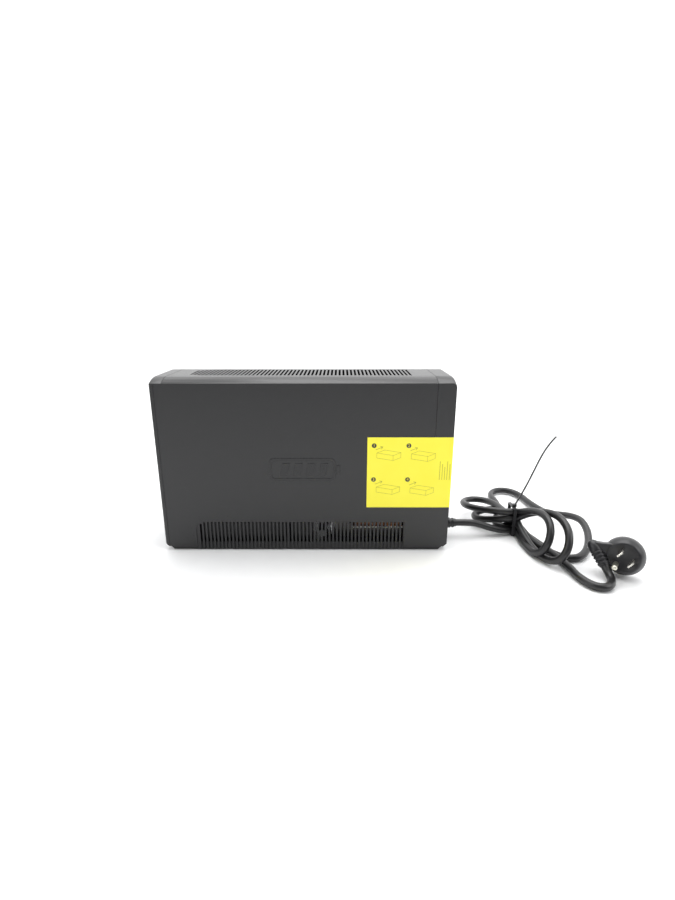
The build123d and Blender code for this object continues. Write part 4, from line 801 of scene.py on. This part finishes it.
knuckle = plug_frame @ Vector((-PLUG_ARM * MM, PLUG_ARM_LIFT * MM, KNUCKLE_HEIGHT * MM))
relief_run = RELIEF_END * MM - knuckle
relief_length = relief_run.length / MM
profile = [(0.0, -5.8), (3.0, -5.0), (5.0, -3.0), (5.8, 0.0), (5.6, 6.0)]
for i in range(RIBS):
    rib = FIRST_RIB + RIB_PITCH * i
    body = 5.2 - 0.12 * i
    crest = body + RIB_RISE
    profile += [(body, rib), (crest, rib + 0.5), (crest, rib + 1.9), (body, rib + 2.4)]
profile += [(4.7, relief_length - 0.4), (4.3, relief_length), (0.0, relief_length)]
sleeve = bmesh.new()
turned(sleeve, profile, 32)
sleeve_turn = relief_run.to_track_quat("Z", "Y").to_matrix().to_4x4()
sleeve.transform(Matrix.Translation(knuckle) @ sleeve_turn)
soften(plug_piece("plug_sleeve", sleeve), SLEEVE_EDGE * MM)

# ------------------------------------------------------------------ rounded edges of the CAD pieces
ROUNDED = {
    "side_shell_left": 0.5,
    "side_shell_right": 0.5,
    "top_grille": 0.25,
    "front_bezel": 0.5,
    "rear_panel": 0.4,
    "base_tray": 0.4,
    "cord_gland": 0.4,
    "cable_tie": 0.35,
    "battery_case": 0.8,
    "outlet_block_left": 0.2,
    "outlet_block_right": 0.2,
    "transformer_strap": 0.3,
    "plug_blades": 0.3,
}
for name, width in ROUNDED.items():
    weld = nodes[name].modifiers.new("weld", "WELD")
    weld.merge_threshold = MERGE_DISTANCE
    soften(nodes[name], width * MM)

# ------------------------------------------------------------------ front panel marks
FRONT_X = -155.0
MARK_LIFT = 0.02
CAP_RISE = 0.52
MARK_Z = 126.0
MARK_LINE = 0.35
# every mark: its body, and where its middle is across the front
MARKS = {
    "mute_mark": ("mute", 25.0),
    "power_mark": ("power", 0.0),
    "display_mark": ("display", -25.0),
}
SPEAKER = [(-2, -0.8), (-0.8, -0.8), (0.8, -2), (0.8, 2), (-0.8, 0.8), (-2, 0.8)]
SCREEN = [(-2.4, -1.5), (2.4, -1.5), (2.4, 1.5), (-2.4, 1.5)]
front_plane = Matrix.Translation(((FRONT_X - MARK_LIFT) * MM, 0.0, 0.0)) @ Matrix(
    ((0.0, 0.0, -1.0, 0.0), (-1.0, 0.0, 0.0, 0.0), (0.0, 1.0, 0.0, 0.0), (0.0, 0.0, 0.0, 1.0))
)
cap_plane = Matrix.Translation((-CAP_RISE * MM, 0.0, 0.0)) @ front_plane


def ring_marks(shape, y, z, radius, start, end, steps=14):
    """Arc drawn with short flat bars on a button's cap."""
    turns = [radians(start + (end - start) * i / steps) for i in range(steps + 1)]
    points = [(y + radius * cos(t), z + radius * sin(t)) for t in turns]
    for a, b in zip(points, points[1:]):
        stroke(shape, a, b, MARK_LINE, cap_plane)


for name, (body, y) in MARKS.items():
    mark = bmesh.new()
    if body == "power":
        ring_marks(mark, y, MARK_Z, 1.9, -235.0, 55.0)
        stroke(mark, (y, MARK_Z + 0.4), (y, MARK_Z + 2.4), MARK_LINE, cap_plane)
    elif body == "mute":
        outline(mark, [(y + dy, MARK_Z + dz) for dy, dz in SPEAKER], FINE_LINE, cap_plane)
        wave = y + 1.8
        stroke(mark, (wave, MARK_Z - 1.2), (wave, MARK_Z + 1.2), FINE_LINE, cap_plane)
    else:
        outline(mark, [(y + dy, MARK_Z + dz) for dy, dz in SCREEN], FINE_LINE, cap_plane)
    piece(name, from_bmesh(name, mark, False), PRINT_WHITE, body)
